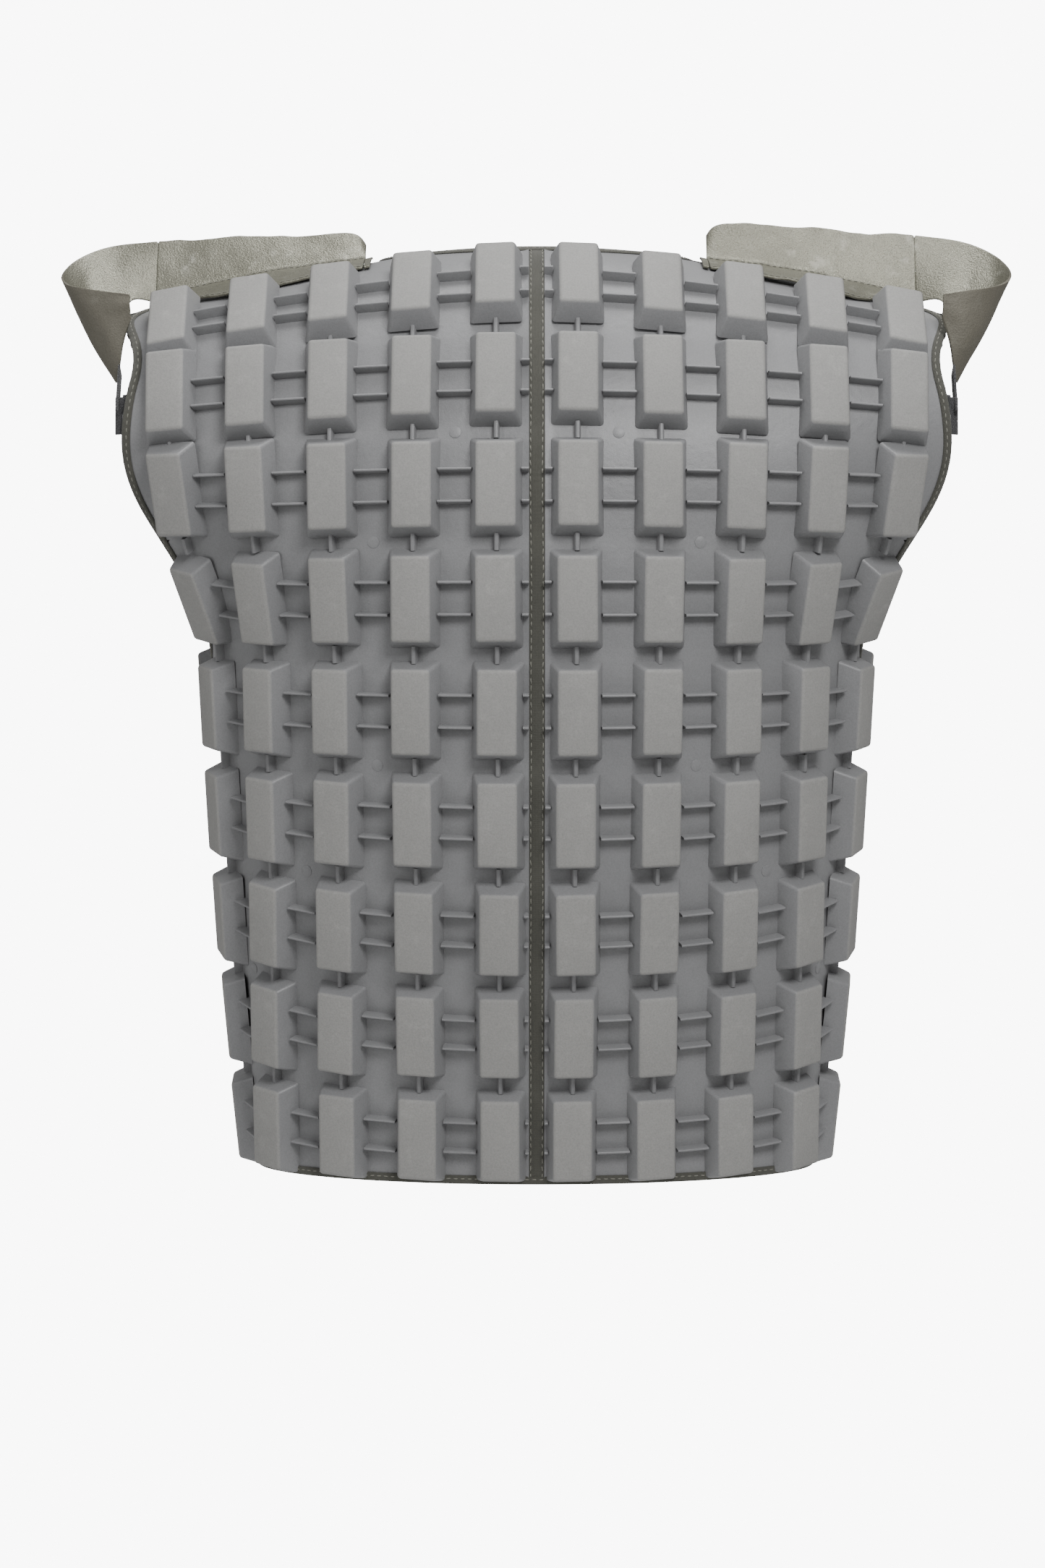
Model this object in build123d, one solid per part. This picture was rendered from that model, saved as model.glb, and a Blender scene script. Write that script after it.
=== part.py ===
from build123d import *
import math
import os

import numpy as np

# Sleeveless armour vest for motorcycling, in millimetres, as it hangs on a wearer.
# +Z is up, -Y is the wearer's back, +X is the wearer's right. The origin is on the
# torso's axis in the plane of the hem. Rubber tread sheets cover the back and the
# front, and two silver leatherette caps stand over the shoulders.

os.makedirs("parts", exist_ok=True)

# --- The torso that the vest is cut for -------------------------------------------
HEM_HALF_WIDTH = 184.0        # half the width at the hem
UNDERARM_HALF_WIDTH = 212.0   # half the width where the armhole starts
UNDERARM_HEIGHT = 330.0       # hem to the bottom of the armhole
SHOULDER_FLARE = 140.0        # how much the wide shoulder section adds to the half width
FLARE_START = 340.0           # heights between which the section widens
FLARE_END = 530.0
RIDGE_HEIGHT = 613.0          # hem to the top of the shoulder beside the neck
SHOULDER_SLOPE = 0.22         # fall of the shoulder for each unit outwards
SLOPE_START = 400.0           # height from which the shoulder slope is felt
SLOPE_POWER = 2.2
NECK_FLAT = 50.0              # half the width that stays level beside the neck
SIDE_SHARE = 0.22             # share of the depth that is a straight side
SHEET_HALF_WIDTH = 268.0      # uncut sheet over the shoulders, to be trimmed at the armhole
FRONT_DEPTH = 85.0            # side seam to the straight centre front
CHEST_HEIGHT = 500.0          # the centre front is straight up to here
# Centre back, from the hem over the shoulder blades to the ridge: depth and height.
BACK_PROFILE = [
    (110, 0), (128, 100), (145, 165), (158, 232), (167, 320), (168, 372),
    (163, 442), (146, 510), (113, 572), (86, 596), (45, 609), (0, RIDGE_HEIGHT),
]

# --- Tread sheet ----------------------------------------------------------------------
SHEET = 3.0                   # thickness of the rubber sheet between the blocks
BLOCK_RELIEF = 14.0
BLOCK_WIDTH = 33.0            # at the root
BLOCK_LENGTH = 62.0
BLOCK_TOP_WIDTH = 24.5
BLOCK_TOP_LENGTH = 53.0
BLOCK_ROOT = 2.2              # how deep a block's root is set into the curved sheet
ROW_PITCH = 70.0
COLUMN_PITCH = 52.0
FIRST_ROW = 33.0              # hem to the middle of the lowest row
ROWS = 9
FIRST_COLUMN_TOP = 26.5       # centre back to the middle of the first column
FIRST_COLUMN_HEM = 22.5
FRONT_FIRST_COLUMN = 37.0     # centre front to the middle of the first column
COLUMNS = 5

# --- Edges, seams and lining -------------------------------------------------------------
STRIP_HALF_WIDTH = 5.0        # tape between the two back sheets
SEAM_HALF_WIDTH = 4.0         # tape in the side and shoulder seams
BINDING_WIDTH = 5.0           # width of the bound edge, measured in from the opening
BINDING_PROUD = 1.2           # how far a binding stands over each face of the sheet
TAPE = 1.6                    # thickness of the seam tapes
LINING = 2.5                  # thickness of the mesh lining
SOFT_GAP = 0.3                # clearance between soft pieces
LINING_GAP = 3.5              # clearance between the sheets and their lining
LINING_INSET = 12.0           # lining edge to the bound edge

# --- Openings ------------------------------------------------------------------------------
NECK_HALF_WIDTH = 98.0
NECK_BACK_DEPTH = 84.0        # shoulder seam back to the nape
NECK_FRONT_DROP = 105.0       # shoulder seam down to the throat
# Armhole seen from the side: depth from the side seam (back is negative) and height.
ARMHOLE = [
    (-12, UNDERARM_HEIGHT), (-80, 388), (-103, 436), (-115, 492), (-100, 548),
    (-50, 563), (4, 567), (52, 548), (68, 500), (60, 430), (34, 362),
]
ARMHOLE_POINTS = 28           # points that a grown outline is drawn through

# --- Front closure -----------------------------------------------------------------------------
FRONT_GAP = 6.0               # centre front to the edge of each front sheet
UNDERLAP_HALF_WIDTH = 17.0    # strip behind the gap
PLACKET_THICKNESS = 2.0
PLACKET_HOVER = 0.6           # placket over the front sheets
PLACKET_HALF_WIDTH = 16.5
PLACKET_BOTTOM = 7.0
PLACKET_TOP = 492.0
ANCHOR_WIDTH = 3.0            # stitched edge of the placket that stays on the right front
FOLD_GAP = 0.4                # between the placket and its stitched edge
SNAPS = 5
SNAP_RADIUS = 6.0
SNAP_HEIGHT = 1.6
SNAP_INSET = 8.0              # snap centre to the placket's free edge
SNAP_END = 30.0               # end of the placket to the first snap
STUD_RADIUS = 3.0

# --- Shoulder caps -----------------------------------------------------------------------------
CAP_SHEET = 1.5               # silver leatherette
CAP_HOVER = 6.0               # cap floor over the tread sheet at the arm
CAP_HOVER_NECK = 2.0          # the same at the stitched end
CAP_NECK_X = 112.0
CAP_ARM_X = 250.0
CAP_FLOOR_BACK = 73.0         # shoulder seam back to the free edge
CAP_FLOOR_FRONT = 24.0        # shoulder seam back to the fold under the standing wall
CAP_RIM_BACK = 12.0           # shoulder seam back to the rim
CAP_RIM_NECK = 618.0          # rim height at the neck end
CAP_RIM_ARM = 613.0           # rim height over the armhole
# Rim round the outer tip, and the foot of the pocket below it: across, back and height.
CAP_TIP_RIM = [(250, 12, 613), (282, 13, 609), (302, 27, 599), (308, 48, 588),
               (301, 70, 579), (282, 85, 574), (260, 91, 571)]
CAP_TIP_FOOT = [(258, 25, 579), (267, 42, 553), (268, 62, 531), (268, 82, 515),
                (267, 88, 522), (264, 91, 540), (259, 92, 556)]
HINGE_WIDTH = 4.0             # stitched strip that stays on the shoulder
HINGE_GAP = 0.5
ANCHOR_LIFT = 1.0             # stitched strip over the curved sheet
TAB_HEIGHT = 28.0             # hook and loop tab at the armhole edge
TAB_MIDDLE = 503.0            # hem to the tab's middle
TAB_REACH = 8.0               # how far the cap's tab stands out from the bound edge
HOOK_REACH = 4.5              # the same of the tab that is sewn to the binding
TAB_CLEARANCE = 1.6           # hook tab inside the binding
TAB_THICKNESS = 1.5

SIDES = {"left": -1.0, "right": 1.0}


def smooth(u):
    u = min(max(u, 0.0), 1.0)
    return u * u * (3 - 2 * u)


def half_width(z):
    """Half the width of the torso section at height z."""
    lower = HEM_HALF_WIDTH + (UNDERARM_HALF_WIDTH - HEM_HALF_WIDTH) * z / UNDERARM_HEIGHT
    return lower + SHOULDER_FLARE * smooth((z - FLARE_START) / (FLARE_END - FLARE_START))


def shoulder_fall(x, z):
    """How far the shoulder slope lowers a point."""
    felt = max(z - SLOPE_START, 0.0) / (RIDGE_HEIGHT - SLOPE_START)
    return SHOULDER_SLOPE * (math.hypot(x, NECK_FLAT) - NECK_FLAT) * felt ** SLOPE_POWER


def profile_table(face):
    """Lengths along the centre profile of the back or front, and the depth and height there."""
    if face == "back":
        curve = Spline(*[(-depth, height) for depth, height in BACK_PROFILE],
                       tangents=[(-0.12, 1), (1, 0)])
    else:
        rise = RIDGE_HEIGHT - CHEST_HEIGHT
        angles = np.linspace(0, math.pi / 2, 7)
        bend = [(FRONT_DEPTH * math.cos(a), CHEST_HEIGHT + rise * math.sin(a)) for a in angles]
        curve = Line((FRONT_DEPTH, 0), (FRONT_DEPTH, CHEST_HEIGHT)) + Spline(
            *bend, tangents=[(0, 1), (-1, 0)])
    edges = curve.edges() if face == "front" else [curve]
    lengths, depths, heights = [0.0], [], []
    for edge in sorted(edges, key=lambda e: e.center().Y) if face == "front" else edges:
        shares = np.linspace(0, 1, 81)
        points = [edge @ share for share in shares]
        if depths:
            points, shares = points[1:], shares[1:]
            base = lengths[-1]
        else:
            base = 0.0
            lengths = []
        lengths += [base + share * edge.length for share in shares]
        depths += [p.X for p in points]
        heights += [p.Y for p in points]
    return np.array(lengths), np.array(depths), np.array(heights)


PROFILES = {face: profile_table(face) for face in ("back", "front")}
LENGTHS = {face: float(PROFILES[face][0][-1]) for face in PROFILES}


def section(face, t):
    """Centre depth, height and half width of the section at the length t from the hem."""
    lengths, depths, heights = PROFILES[face]
    height = float(np.interp(t, lengths, heights))
    return float(np.interp(t, lengths, depths)), height, half_width(height)


def section_table(face, t):
    """Lengths across from the centre at the length t up, and x and y at each."""
    depth, _, width = section(face, t)
    angles = np.linspace(0, math.pi / 2, 181)
    x = width * np.sin(angles)
    y = depth * (SIDE_SHARE + (1 - SIDE_SHARE) * np.cos(angles))
    x = np.append(x, width)
    y = np.append(y, 0.0)
    steps = np.hypot(np.diff(x), np.diff(y))
    return np.concatenate([[0], np.cumsum(steps)]), x, y


def on_torso(face, s, t):
    """Point at the length s across from the centre line and t up from the hem."""
    _, height, _ = section(face, t)
    lengths, xs, ys = section_table(face, t)
    x = math.copysign(float(np.interp(abs(s), lengths, xs)), s)
    y = float(np.interp(abs(s), lengths, ys))
    return np.array([x, y, height - shoulder_fall(x, height)])


def frame_at(face, s, t):
    """Point on the torso with its outward normal and the directions across and up."""
    step = 1.0
    across = on_torso(face, s + step, t) - on_torso(face, s - step, t)
    up = on_torso(face, s, t + step) - on_torso(face, s, t - step)
    normal = np.cross(across, up) * (1 if face == "back" else -1)
    return [on_torso(face, s, t)] + [v / np.linalg.norm(v) for v in (normal, across, up)]


def torso_grid(face, offset, rows=25, columns=31):
    """Grid of points over one face of the torso, moved outwards by offset."""
    points = np.zeros((rows, columns, 3))
    for i, t in enumerate(np.linspace(0, LENGTHS[face], rows)):
        _, height, _ = section(face, t)
        lengths, xs, ys = section_table(face, t)
        wide = smooth((height - FLARE_START - 30) / (FLARE_END - FLARE_START))
        trimmed = float(np.interp(SHEET_HALF_WIDTH, xs[:-1], lengths[:-1]))
        reach = lengths[-1] + (min(trimmed, lengths[-1]) - lengths[-1]) * wide
        run = np.linspace(-reach, reach, columns)
        x = np.interp(abs(run), lengths, xs) * np.sign(run)
        y = np.interp(abs(run), lengths, ys)
        z = np.array([height - shoulder_fall(v, height) for v in x])
        points[i] = np.stack([x, y, z], axis=1)
    across = np.gradient(points, axis=1)
    up = np.gradient(points, axis=0)
    normal = np.cross(across, up) * (1 if face == "back" else -1)
    normal[abs(points[..., 1]) < 1e-6, 1] = 0.0
    normal /= np.linalg.norm(normal, axis=2, keepdims=True)
    moved = points + normal * offset
    moved[0, :, 2] = 0.0
    return moved


def solid_between(outer, inner):
    """Closed sheet between two grids of points, lofted row by row; end rows are flat."""
    steps = np.linalg.norm(np.diff(outer, axis=1), axis=2).mean(axis=0)
    along = np.concatenate([[0], np.cumsum(steps)]) / steps.sum()
    sections = []
    for high, low in zip(outer, inner):
        high = [Vector(*p) for p in high]
        low = [Vector(*p) for p in low][::-1]
        sections.append(Wire([
            Edge.make_spline(high, parameters=list(along)),
            Edge.make_line(high[-1], low[0]),
            Edge.make_spline(low, parameters=list(1 - along[::-1])),
            Edge.make_line(low[-1], high[0])]))
    return Solid.make_loft(sections, False)


def torso_sheet(face, high, low):
    """Sheet over one face of the torso, between two distances from it."""
    return solid_between(torso_grid(face, high), torso_grid(face, low))


def box_between(low, high):
    size = [h - l for l, h in zip(low, high)]
    middle = [(l + h) / 2 for l, h in zip(low, high)]
    return Pos(*middle) * Box(*size)


def mirrored(shape, side):
    """A shape drawn on the right side, moved to the left side if asked."""
    return shape if side == "right" else mirror(shape, about=Plane.YZ)


def armhole_cutter(margin):
    """Prism through the right armhole, grown all round by margin."""
    curve = Edge.make_spline([Vector(0, y, z) for y, z in ARMHOLE], periodic=True)
    outline = []
    for share in np.linspace(0, 1, ARMHOLE_POINTS, endpoint=False):
        along = curve % share
        outline.append(curve @ share + Vector(0, -along.Z, along.Y) * margin)
    face = Face(Wire([Edge.make_spline(outline, periodic=True)]))
    return extrude(face.moved(Location((150, 0, 0))), amount=250, dir=(1, 0, 0))


def neck_cutter(margin):
    """Neck opening: a flat ellipse behind the shoulder seams and a deep scoop in front."""
    plan = Ellipse(NECK_HALF_WIDTH + margin, NECK_BACK_DEPTH + margin)
    behind = extrude(plan, amount=200).moved(Location((0, 0, CHEST_HEIGHT)))
    behind &= box_between((-200, -200, 0), (200, 0, 900))
    scoop = Plane.XZ * Ellipse(NECK_HALF_WIDTH + margin, NECK_FRONT_DROP + margin)
    front = extrude(scoop, amount=-200).moved(Location((0, 0, RIDGE_HEIGHT)))
    above = box_between((-NECK_HALF_WIDTH - margin, 0, RIDGE_HEIGHT),
                        (NECK_HALF_WIDTH + margin, 200, 900))
    return behind + front + above


def point_in_armhole(y, z):
    """Whether a point seen from the side lies in the armhole, by counting crossings."""
    inside = False
    for (y0, z0), (y1, z1) in zip(ARMHOLE, ARMHOLE[1:] + ARMHOLE[:1]):
        if (z0 > z) != (z1 > z) and y < y0 + (z - z0) * (y1 - y0) / (z1 - z0):
            inside = not inside
    return inside


def tread_block(face, s, t):
    """One drafted tread block standing on the torso."""
    point, normal, across, up = frame_at(face, s, t)
    sink = BLOCK_ROOT
    plane = Plane(origin=Vector(*(point - normal * sink)), x_dir=Vector(*across),
                  z_dir=Vector(*normal))
    root = plane * Rectangle(BLOCK_WIDTH, BLOCK_LENGTH)
    top = plane.offset(BLOCK_RELIEF + sink) * Rectangle(BLOCK_TOP_WIDTH, BLOCK_TOP_LENGTH)
    return Solid.make_loft([root.faces()[0].outer_wire(), top.faces()[0].outer_wire()], True)


def block_places(face):
    """Lengths across and up of every whole block on the right half of a face."""
    places = []
    for row in range(ROWS):
        t = FIRST_ROW + row * ROW_PITCH
        _, height, _ = section(face, t)
        lengths, xs, ys = section_table(face, t)
        if face == "back":
            first = FIRST_COLUMN_HEM + (FIRST_COLUMN_TOP - FIRST_COLUMN_HEM) * t / LENGTHS[face]
        else:
            first = FRONT_FIRST_COLUMN
        for column in range(COLUMNS):
            s = first + column * COLUMN_PITCH
            edge = s + BLOCK_WIDTH / 2
            x, y, z = on_torso(face, s, t)
            top = on_torso(face, s, t + BLOCK_LENGTH / 2)
            outer = on_torso(face, edge, t)
            seam = lengths[-1] - SEAM_HALF_WIDTH
            if edge > seam + BLOCK_WIDTH / 2:
                continue
            if height > UNDERARM_HEIGHT and (point_in_armhole(y, z) or outer[0] > 262):
                continue
            if face == "front" and in_scoop(top, BLOCK_WIDTH / 2):
                continue
            if t + BLOCK_LENGTH / 2 > LENGTHS[face] - 10:
                continue
            places.append((s, t))
    return places


def in_scoop(point, room):
    """Whether a point on the front, with room round it, falls in the neck opening."""
    across = max(abs(point[0]) - room, 0) / (NECK_HALF_WIDTH + BINDING_WIDTH)
    down = (RIDGE_HEIGHT - point[2]) / (NECK_FRONT_DROP + BINDING_WIDTH)
    return across ** 2 + down ** 2 < 1


FAR = 1000.0
ends = {"back": -1, "front": 1}
sheets = {face: torso_sheet(face, 0.0, -SHEET) for face in ends}
thick = {face: torso_sheet(face, BINDING_PROUD, -SHEET - BINDING_PROUD) for face in ends}
linings = {face: torso_sheet(face, -SHEET - LINING_GAP, -SHEET - LINING_GAP - LINING)
           for face in ends}


def side_of_seam(face, gap):
    """Everything behind or in front of the side and shoulder seams."""
    if face == "back":
        return box_between((-FAR, -FAR, -FAR), (FAR, -gap, FAR))
    return box_between((-FAR, gap, -FAR), (FAR, FAR, FAR))


right_armhole = {margin: armhole_cutter(margin)
                 for margin in (0.0, BINDING_WIDTH, BINDING_WIDTH + LINING_INSET)}
necks = {margin: neck_cutter(margin) for margin in right_armhole}
parts = {}


def panel(face, side):
    """Tread sheet of one side of the back or front, with its blocks."""
    inner = STRIP_HALF_WIDTH if face == "back" else FRONT_GAP
    half = box_between((inner, -FAR, BINDING_WIDTH), (FAR, FAR, FAR))
    keep = side_of_seam(face, SEAM_HALF_WIDTH) & half
    blocks = [tread_block(face, s, t) for s, t in block_places(face)]
    shape = sheets[face].fuse(*blocks)
    shape = (shape & keep) - right_armhole[BINDING_WIDTH] - necks[BINDING_WIDTH]
    largest = max(shape.solids(), key=lambda solid: solid.volume)
    return mirrored(largest, side)


def seam_pieces(side):
    """Tapes in the side seam and the shoulder seam of one side."""
    slab = box_between((0, -SEAM_HALF_WIDTH, BINDING_WIDTH), (FAR, SEAM_HALF_WIDTH, FAR))
    ring = [(sheets[face] & slab) - right_armhole[BINDING_WIDTH] - necks[BINDING_WIDTH]
            for face in ends]
    low, high = [], []
    for half in ring:
        for solid in half.solids():
            (low if solid.center().Z < CHEST_HEIGHT else high).append(solid)
    return {f"side_seam_tape_{side}": mirrored(Compound(children=low), side),
            f"shoulder_seam_tape_{side}": mirrored(high[0].fuse(*high[1:]), side)}


def bound_edge(opening, inner):
    """Back and front lengths of the binding between a free edge and the sheets around it."""
    return [(thick[face] & (opening - inner)).solids()[0] for face in ends]


def lining(face, side=None):
    """Mesh lining inside the back, or inside one front."""
    shape = linings[face] & side_of_seam(face, SEAM_HALF_WIDTH + SOFT_GAP)
    margin = BINDING_WIDTH + LINING_INSET
    inner = 0 if face == "back" else UNDERLAP_HALF_WIDTH + 3
    half = shape & box_between((inner, -FAR, margin), (FAR, FAR, FAR))
    half = half - right_armhole[margin] - necks[margin]
    half = max(half.solids(), key=lambda solid: solid.volume)
    return mirrored(half, side) if side else half.fuse(mirror(half, about=Plane.YZ))


def shoulder_height(x, y):
    """Height of the back of the shoulder at a place seen from above."""
    lengths = np.linspace(LENGTHS["back"] * 0.8, LENGTHS["back"], 60)
    depths, heights = [], []
    for t in lengths:
        depth, height, width = section("back", t)
        depths.append(depth * (SIDE_SHARE + (1 - SIDE_SHARE) * math.sqrt(1 - (x / width) ** 2)))
        heights.append(height - shoulder_fall(x, height))
    return float(np.interp(y, depths, heights))


def cap_floor(x, share):
    """Point on top of the cap's floor, from its free edge to the fold under the wall."""
    y = -CAP_FLOOR_BACK + (CAP_FLOOR_BACK - CAP_FLOOR_FRONT) * share
    along = max(x - CAP_NECK_X, 0) / (CAP_ARM_X - CAP_NECK_X)
    hover = CAP_HOVER_NECK + (CAP_HOVER - CAP_HOVER_NECK) * smooth(along * 2)
    return np.array([x, y, shoulder_height(x, y) + hover + CAP_SHEET])


def cap_ledge_grid():
    """Floor and standing wall of the cap, from its stitched end to the armhole."""
    rows = []
    for x in np.linspace(CAP_NECK_X, CAP_ARM_X, 13):
        along = (x - CAP_NECK_X) / (CAP_ARM_X - CAP_NECK_X)
        rim = np.array([x, -CAP_RIM_BACK, CAP_RIM_NECK + (CAP_RIM_ARM - CAP_RIM_NECK) * along])
        floor = [cap_floor(x, share) for share in np.linspace(0, 0.86, 7)]
        fold = cap_floor(x, 1.0)
        wall = [fold + (rim - fold) * share for share in (0.3, 0.65, 1.0)]
        rows.append(floor + wall)
    return np.array(rows)


def cap_pocket_grid():
    """Wall of the pocket that hangs outside the armhole, rim to foot."""
    def curve(points):
        return Spline(*[(x, -y, z) for x, y, z in points])

    rim, foot = curve(CAP_TIP_RIM), curve(CAP_TIP_FOOT)
    rows = []
    for share in np.linspace(0, 1, 19):
        top, bottom = np.array([*(rim @ share)]), np.array([*(foot @ share)])
        rows.append([top + (bottom - top) * down for down in np.linspace(0, 1, 6)])
    return np.array(rows)


def thickened(grid, thickness, straight_ends):
    """Closed sheet that lies to one side of a grid of points, with flat ends."""
    normal = np.cross(np.gradient(grid, axis=0), np.gradient(grid, axis=1))
    for end in (0, -1):
        if straight_ends:
            normal[end] = normal[end].mean(axis=0)
        else:
            normal[end, :, 0] = 0.0
    normal /= np.linalg.norm(normal, axis=2, keepdims=True)
    return solid_between(grid, grid + normal * thickness)


def shoulder_cap(side):
    ledge = thickened(cap_ledge_grid(), -CAP_SHEET, straight_ends=False)
    pocket = thickened(cap_pocket_grid(), CAP_SHEET, straight_ends=True)
    shape = ledge.fuse(pocket)
    return mirrored(shape, side)


def cap_anchor(side):
    """Stitched end of the cap, which stays on the shoulder beside the neck."""
    end = CAP_NECK_X - HINGE_GAP
    grid = np.array([[cap_floor(x, share) for share in np.linspace(0, 1, 9)]
                     for x in np.linspace(end - HINGE_WIDTH, end, 4)])
    drop = np.array([0, 0, CAP_HOVER_NECK + CAP_SHEET - ANCHOR_LIFT])
    return mirrored(solid_between(grid, grid - drop), side)


def tab_frame():
    """Plane on the torso at the armhole's back edge, where the tabs fasten."""
    t = float(np.interp(TAB_MIDDLE, PROFILES["back"][2], PROFILES["back"][0]))
    lengths, _, ys = section_table("back", t)
    edge = min(ARMHOLE, key=lambda p: abs(p[1] - TAB_MIDDLE) + (p[0] > 0) * FAR)
    s = float(np.interp(edge[0], ys, lengths))
    point, normal, across, _ = frame_at("back", s, t)
    return Plane(origin=Vector(*point), x_dir=Vector(*across), z_dir=Vector(*normal))


def armhole_tab(side):
    """Hook tab sewn inside the armhole's bound edge, standing out past it."""
    high = -SHEET - BINDING_PROUD - TAB_CLEARANCE
    low = (-TAB_REACH, -TAB_HEIGHT / 2, high - TAB_THICKNESS)
    shape = tab_frame() * box_between(low, (HOOK_REACH, TAB_HEIGHT / 2, high))
    return mirrored(shape, side)


def cap_tab(side):
    """Loop tab of the cap, which presses on the hook tab, and its strap to the pocket."""
    frame = tab_frame()
    low = -SHEET - BINDING_PROUD + SOFT_GAP
    high = low + TAB_THICKNESS
    shape = frame * box_between((1.0, -TAB_HEIGHT / 2 + 2, low),
                                (TAB_REACH, TAB_HEIGHT / 2 - 2, high))
    start = frame.from_local_coords(Vector(TAB_REACH - 1.5, 0, high))
    foot = Vector(*[v * k for v, k in zip(CAP_TIP_FOOT[4], (1, -1, 1))])
    run = Plane(origin=(start + foot) * 0.5, x_dir=(foot - start).normalized(),
                z_dir=Vector(1, 0, 0).cross(foot - start).cross(foot - start).normalized())
    strap = run * Box((foot - start).length, 12, TAB_THICKNESS)
    joined = shape.fuse(strap)
    return mirrored(max(joined.solids(), key=lambda solid: solid.volume), side)


def placket_span():
    fold = PLACKET_HALF_WIDTH - ANCHOR_WIDTH
    back = FRONT_DEPTH + PLACKET_HOVER
    return fold, back, back + PLACKET_THICKNESS


def snap_heights():
    return np.linspace(PLACKET_BOTTOM + SNAP_END, PLACKET_TOP - SNAP_END, SNAPS)


SNAP_X = -PLACKET_HALF_WIDTH + SNAP_INSET
TO_FRONT = (-90, 0, 0)        # turns a cylinder's axis towards the front


def front_placket():
    fold, back, front = placket_span()
    strip = box_between((-PLACKET_HALF_WIDTH, back, PLACKET_BOTTOM),
                        (fold - FOLD_GAP, front, PLACKET_TOP))
    for z in snap_heights():
        hole = Pos(SNAP_X, back, z) * Rot(*TO_FRONT) * Cylinder(STUD_RADIUS * 0.65, 20)
        strip -= hole
    return strip


def snap_caps():
    _, _, front = placket_span()
    shapes = []
    for z in snap_heights():
        disc = Pos(SNAP_X, front + SNAP_HEIGHT / 2, z) * Rot(*TO_FRONT) * Cylinder(
            SNAP_RADIUS, SNAP_HEIGHT)
        rim = disc.edges().filter_by(GeomType.CIRCLE).sort_by(Axis.Y)[-1]
        shapes.append(fillet(rim, SNAP_HEIGHT * 0.5))
    return Compound(children=[s.solids()[0] for s in shapes])


def snap_studs():
    _, back, front = placket_span()
    base_height = PLACKET_HOVER - 0.2
    shapes = []
    for z in snap_heights():
        turn = Rot(*TO_FRONT)
        base = Pos(SNAP_X, FRONT_DEPTH + base_height / 2, z) * turn * Cylinder(
            STUD_RADIUS, base_height)
        top = front - 0.4
        post = Pos(SNAP_X, (FRONT_DEPTH + top) / 2, z) * turn * Cylinder(
            STUD_RADIUS * 0.5, top - FRONT_DEPTH)
        shapes.append(base + post)
    return Compound(children=[s.solids()[0] for s in shapes])


def placket_anchor():
    fold, _, front = placket_span()
    return box_between((fold, FRONT_DEPTH, PLACKET_BOTTOM),
                       (PLACKET_HALF_WIDTH, front, PLACKET_TOP))


def front_underlap():
    face = FRONT_DEPTH - SHEET - BINDING_PROUD - SOFT_GAP
    return box_between((-UNDERLAP_HALF_WIDTH, face - TAPE, BINDING_WIDTH + 3),
                       (UNDERLAP_HALF_WIDTH, face, PLACKET_TOP))


for side in SIDES:
    for face in ends:
        parts[f"{face}_panel_{side}"] = panel(face, side)
    parts.update(seam_pieces(side))
    bindings = bound_edge(right_armhole[BINDING_WIDTH], right_armhole[0.0])
    parts[f"armhole_binding_{side}"] = mirrored(Compound(children=bindings), side)
    parts[f"front_lining_{side}"] = lining("front", side)
    parts[f"shoulder_cap_{side}"] = shoulder_cap(side)
    parts[f"cap_anchor_{side}"] = cap_anchor(side)
    parts[f"armhole_tab_{side}"] = armhole_tab(side)
    parts[f"cap_tab_{side}"] = cap_tab(side)

strip = box_between((-STRIP_HALF_WIDTH, -FAR, BINDING_WIDTH), (STRIP_HALF_WIDTH, 0, FAR))
parts["centre_back_strip"] = (sheets["back"] & strip) - necks[BINDING_WIDTH]
behind, before = bound_edge(necks[BINDING_WIDTH], necks[0.0])
parts["neck_binding"] = behind.fuse(before)
hem_slab = box_between((-FAR, -FAR, -10), (FAR, FAR, BINDING_WIDTH))
parts["hem_binding"] = (thick["back"] & hem_slab).fuse(thick["front"] & hem_slab)
parts["back_lining"] = lining("back")
parts["front_placket"] = front_placket()
parts["placket_anchor"] = placket_anchor()
parts["snap_caps"] = snap_caps()
parts["snap_studs"] = snap_studs()
parts["front_underlap"] = front_underlap()

for name, shape in parts.items():
    solids = shape.solids()
    export_step(solids[0] if len(solids) == 1 else Compound(children=list(solids)),
                f"parts/{name}.step")
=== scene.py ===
import math

import bmesh
import bpy
import numpy as np
from mathutils import Matrix, Vector, noise


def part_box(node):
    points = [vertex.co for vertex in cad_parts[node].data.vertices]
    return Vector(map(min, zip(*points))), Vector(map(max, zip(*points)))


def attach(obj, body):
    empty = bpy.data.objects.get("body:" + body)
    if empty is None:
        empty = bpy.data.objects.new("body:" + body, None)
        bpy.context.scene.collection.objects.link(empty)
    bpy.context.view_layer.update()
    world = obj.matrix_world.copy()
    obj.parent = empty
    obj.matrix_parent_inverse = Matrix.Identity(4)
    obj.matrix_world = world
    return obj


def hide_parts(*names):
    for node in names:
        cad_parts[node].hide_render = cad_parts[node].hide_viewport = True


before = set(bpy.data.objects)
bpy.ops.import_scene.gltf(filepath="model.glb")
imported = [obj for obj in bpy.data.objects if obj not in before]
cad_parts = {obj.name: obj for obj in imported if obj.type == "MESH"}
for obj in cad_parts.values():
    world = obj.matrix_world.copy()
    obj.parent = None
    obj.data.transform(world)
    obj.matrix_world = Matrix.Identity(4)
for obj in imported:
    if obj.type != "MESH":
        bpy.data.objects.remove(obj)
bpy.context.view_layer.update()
MM = 0.001

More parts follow.
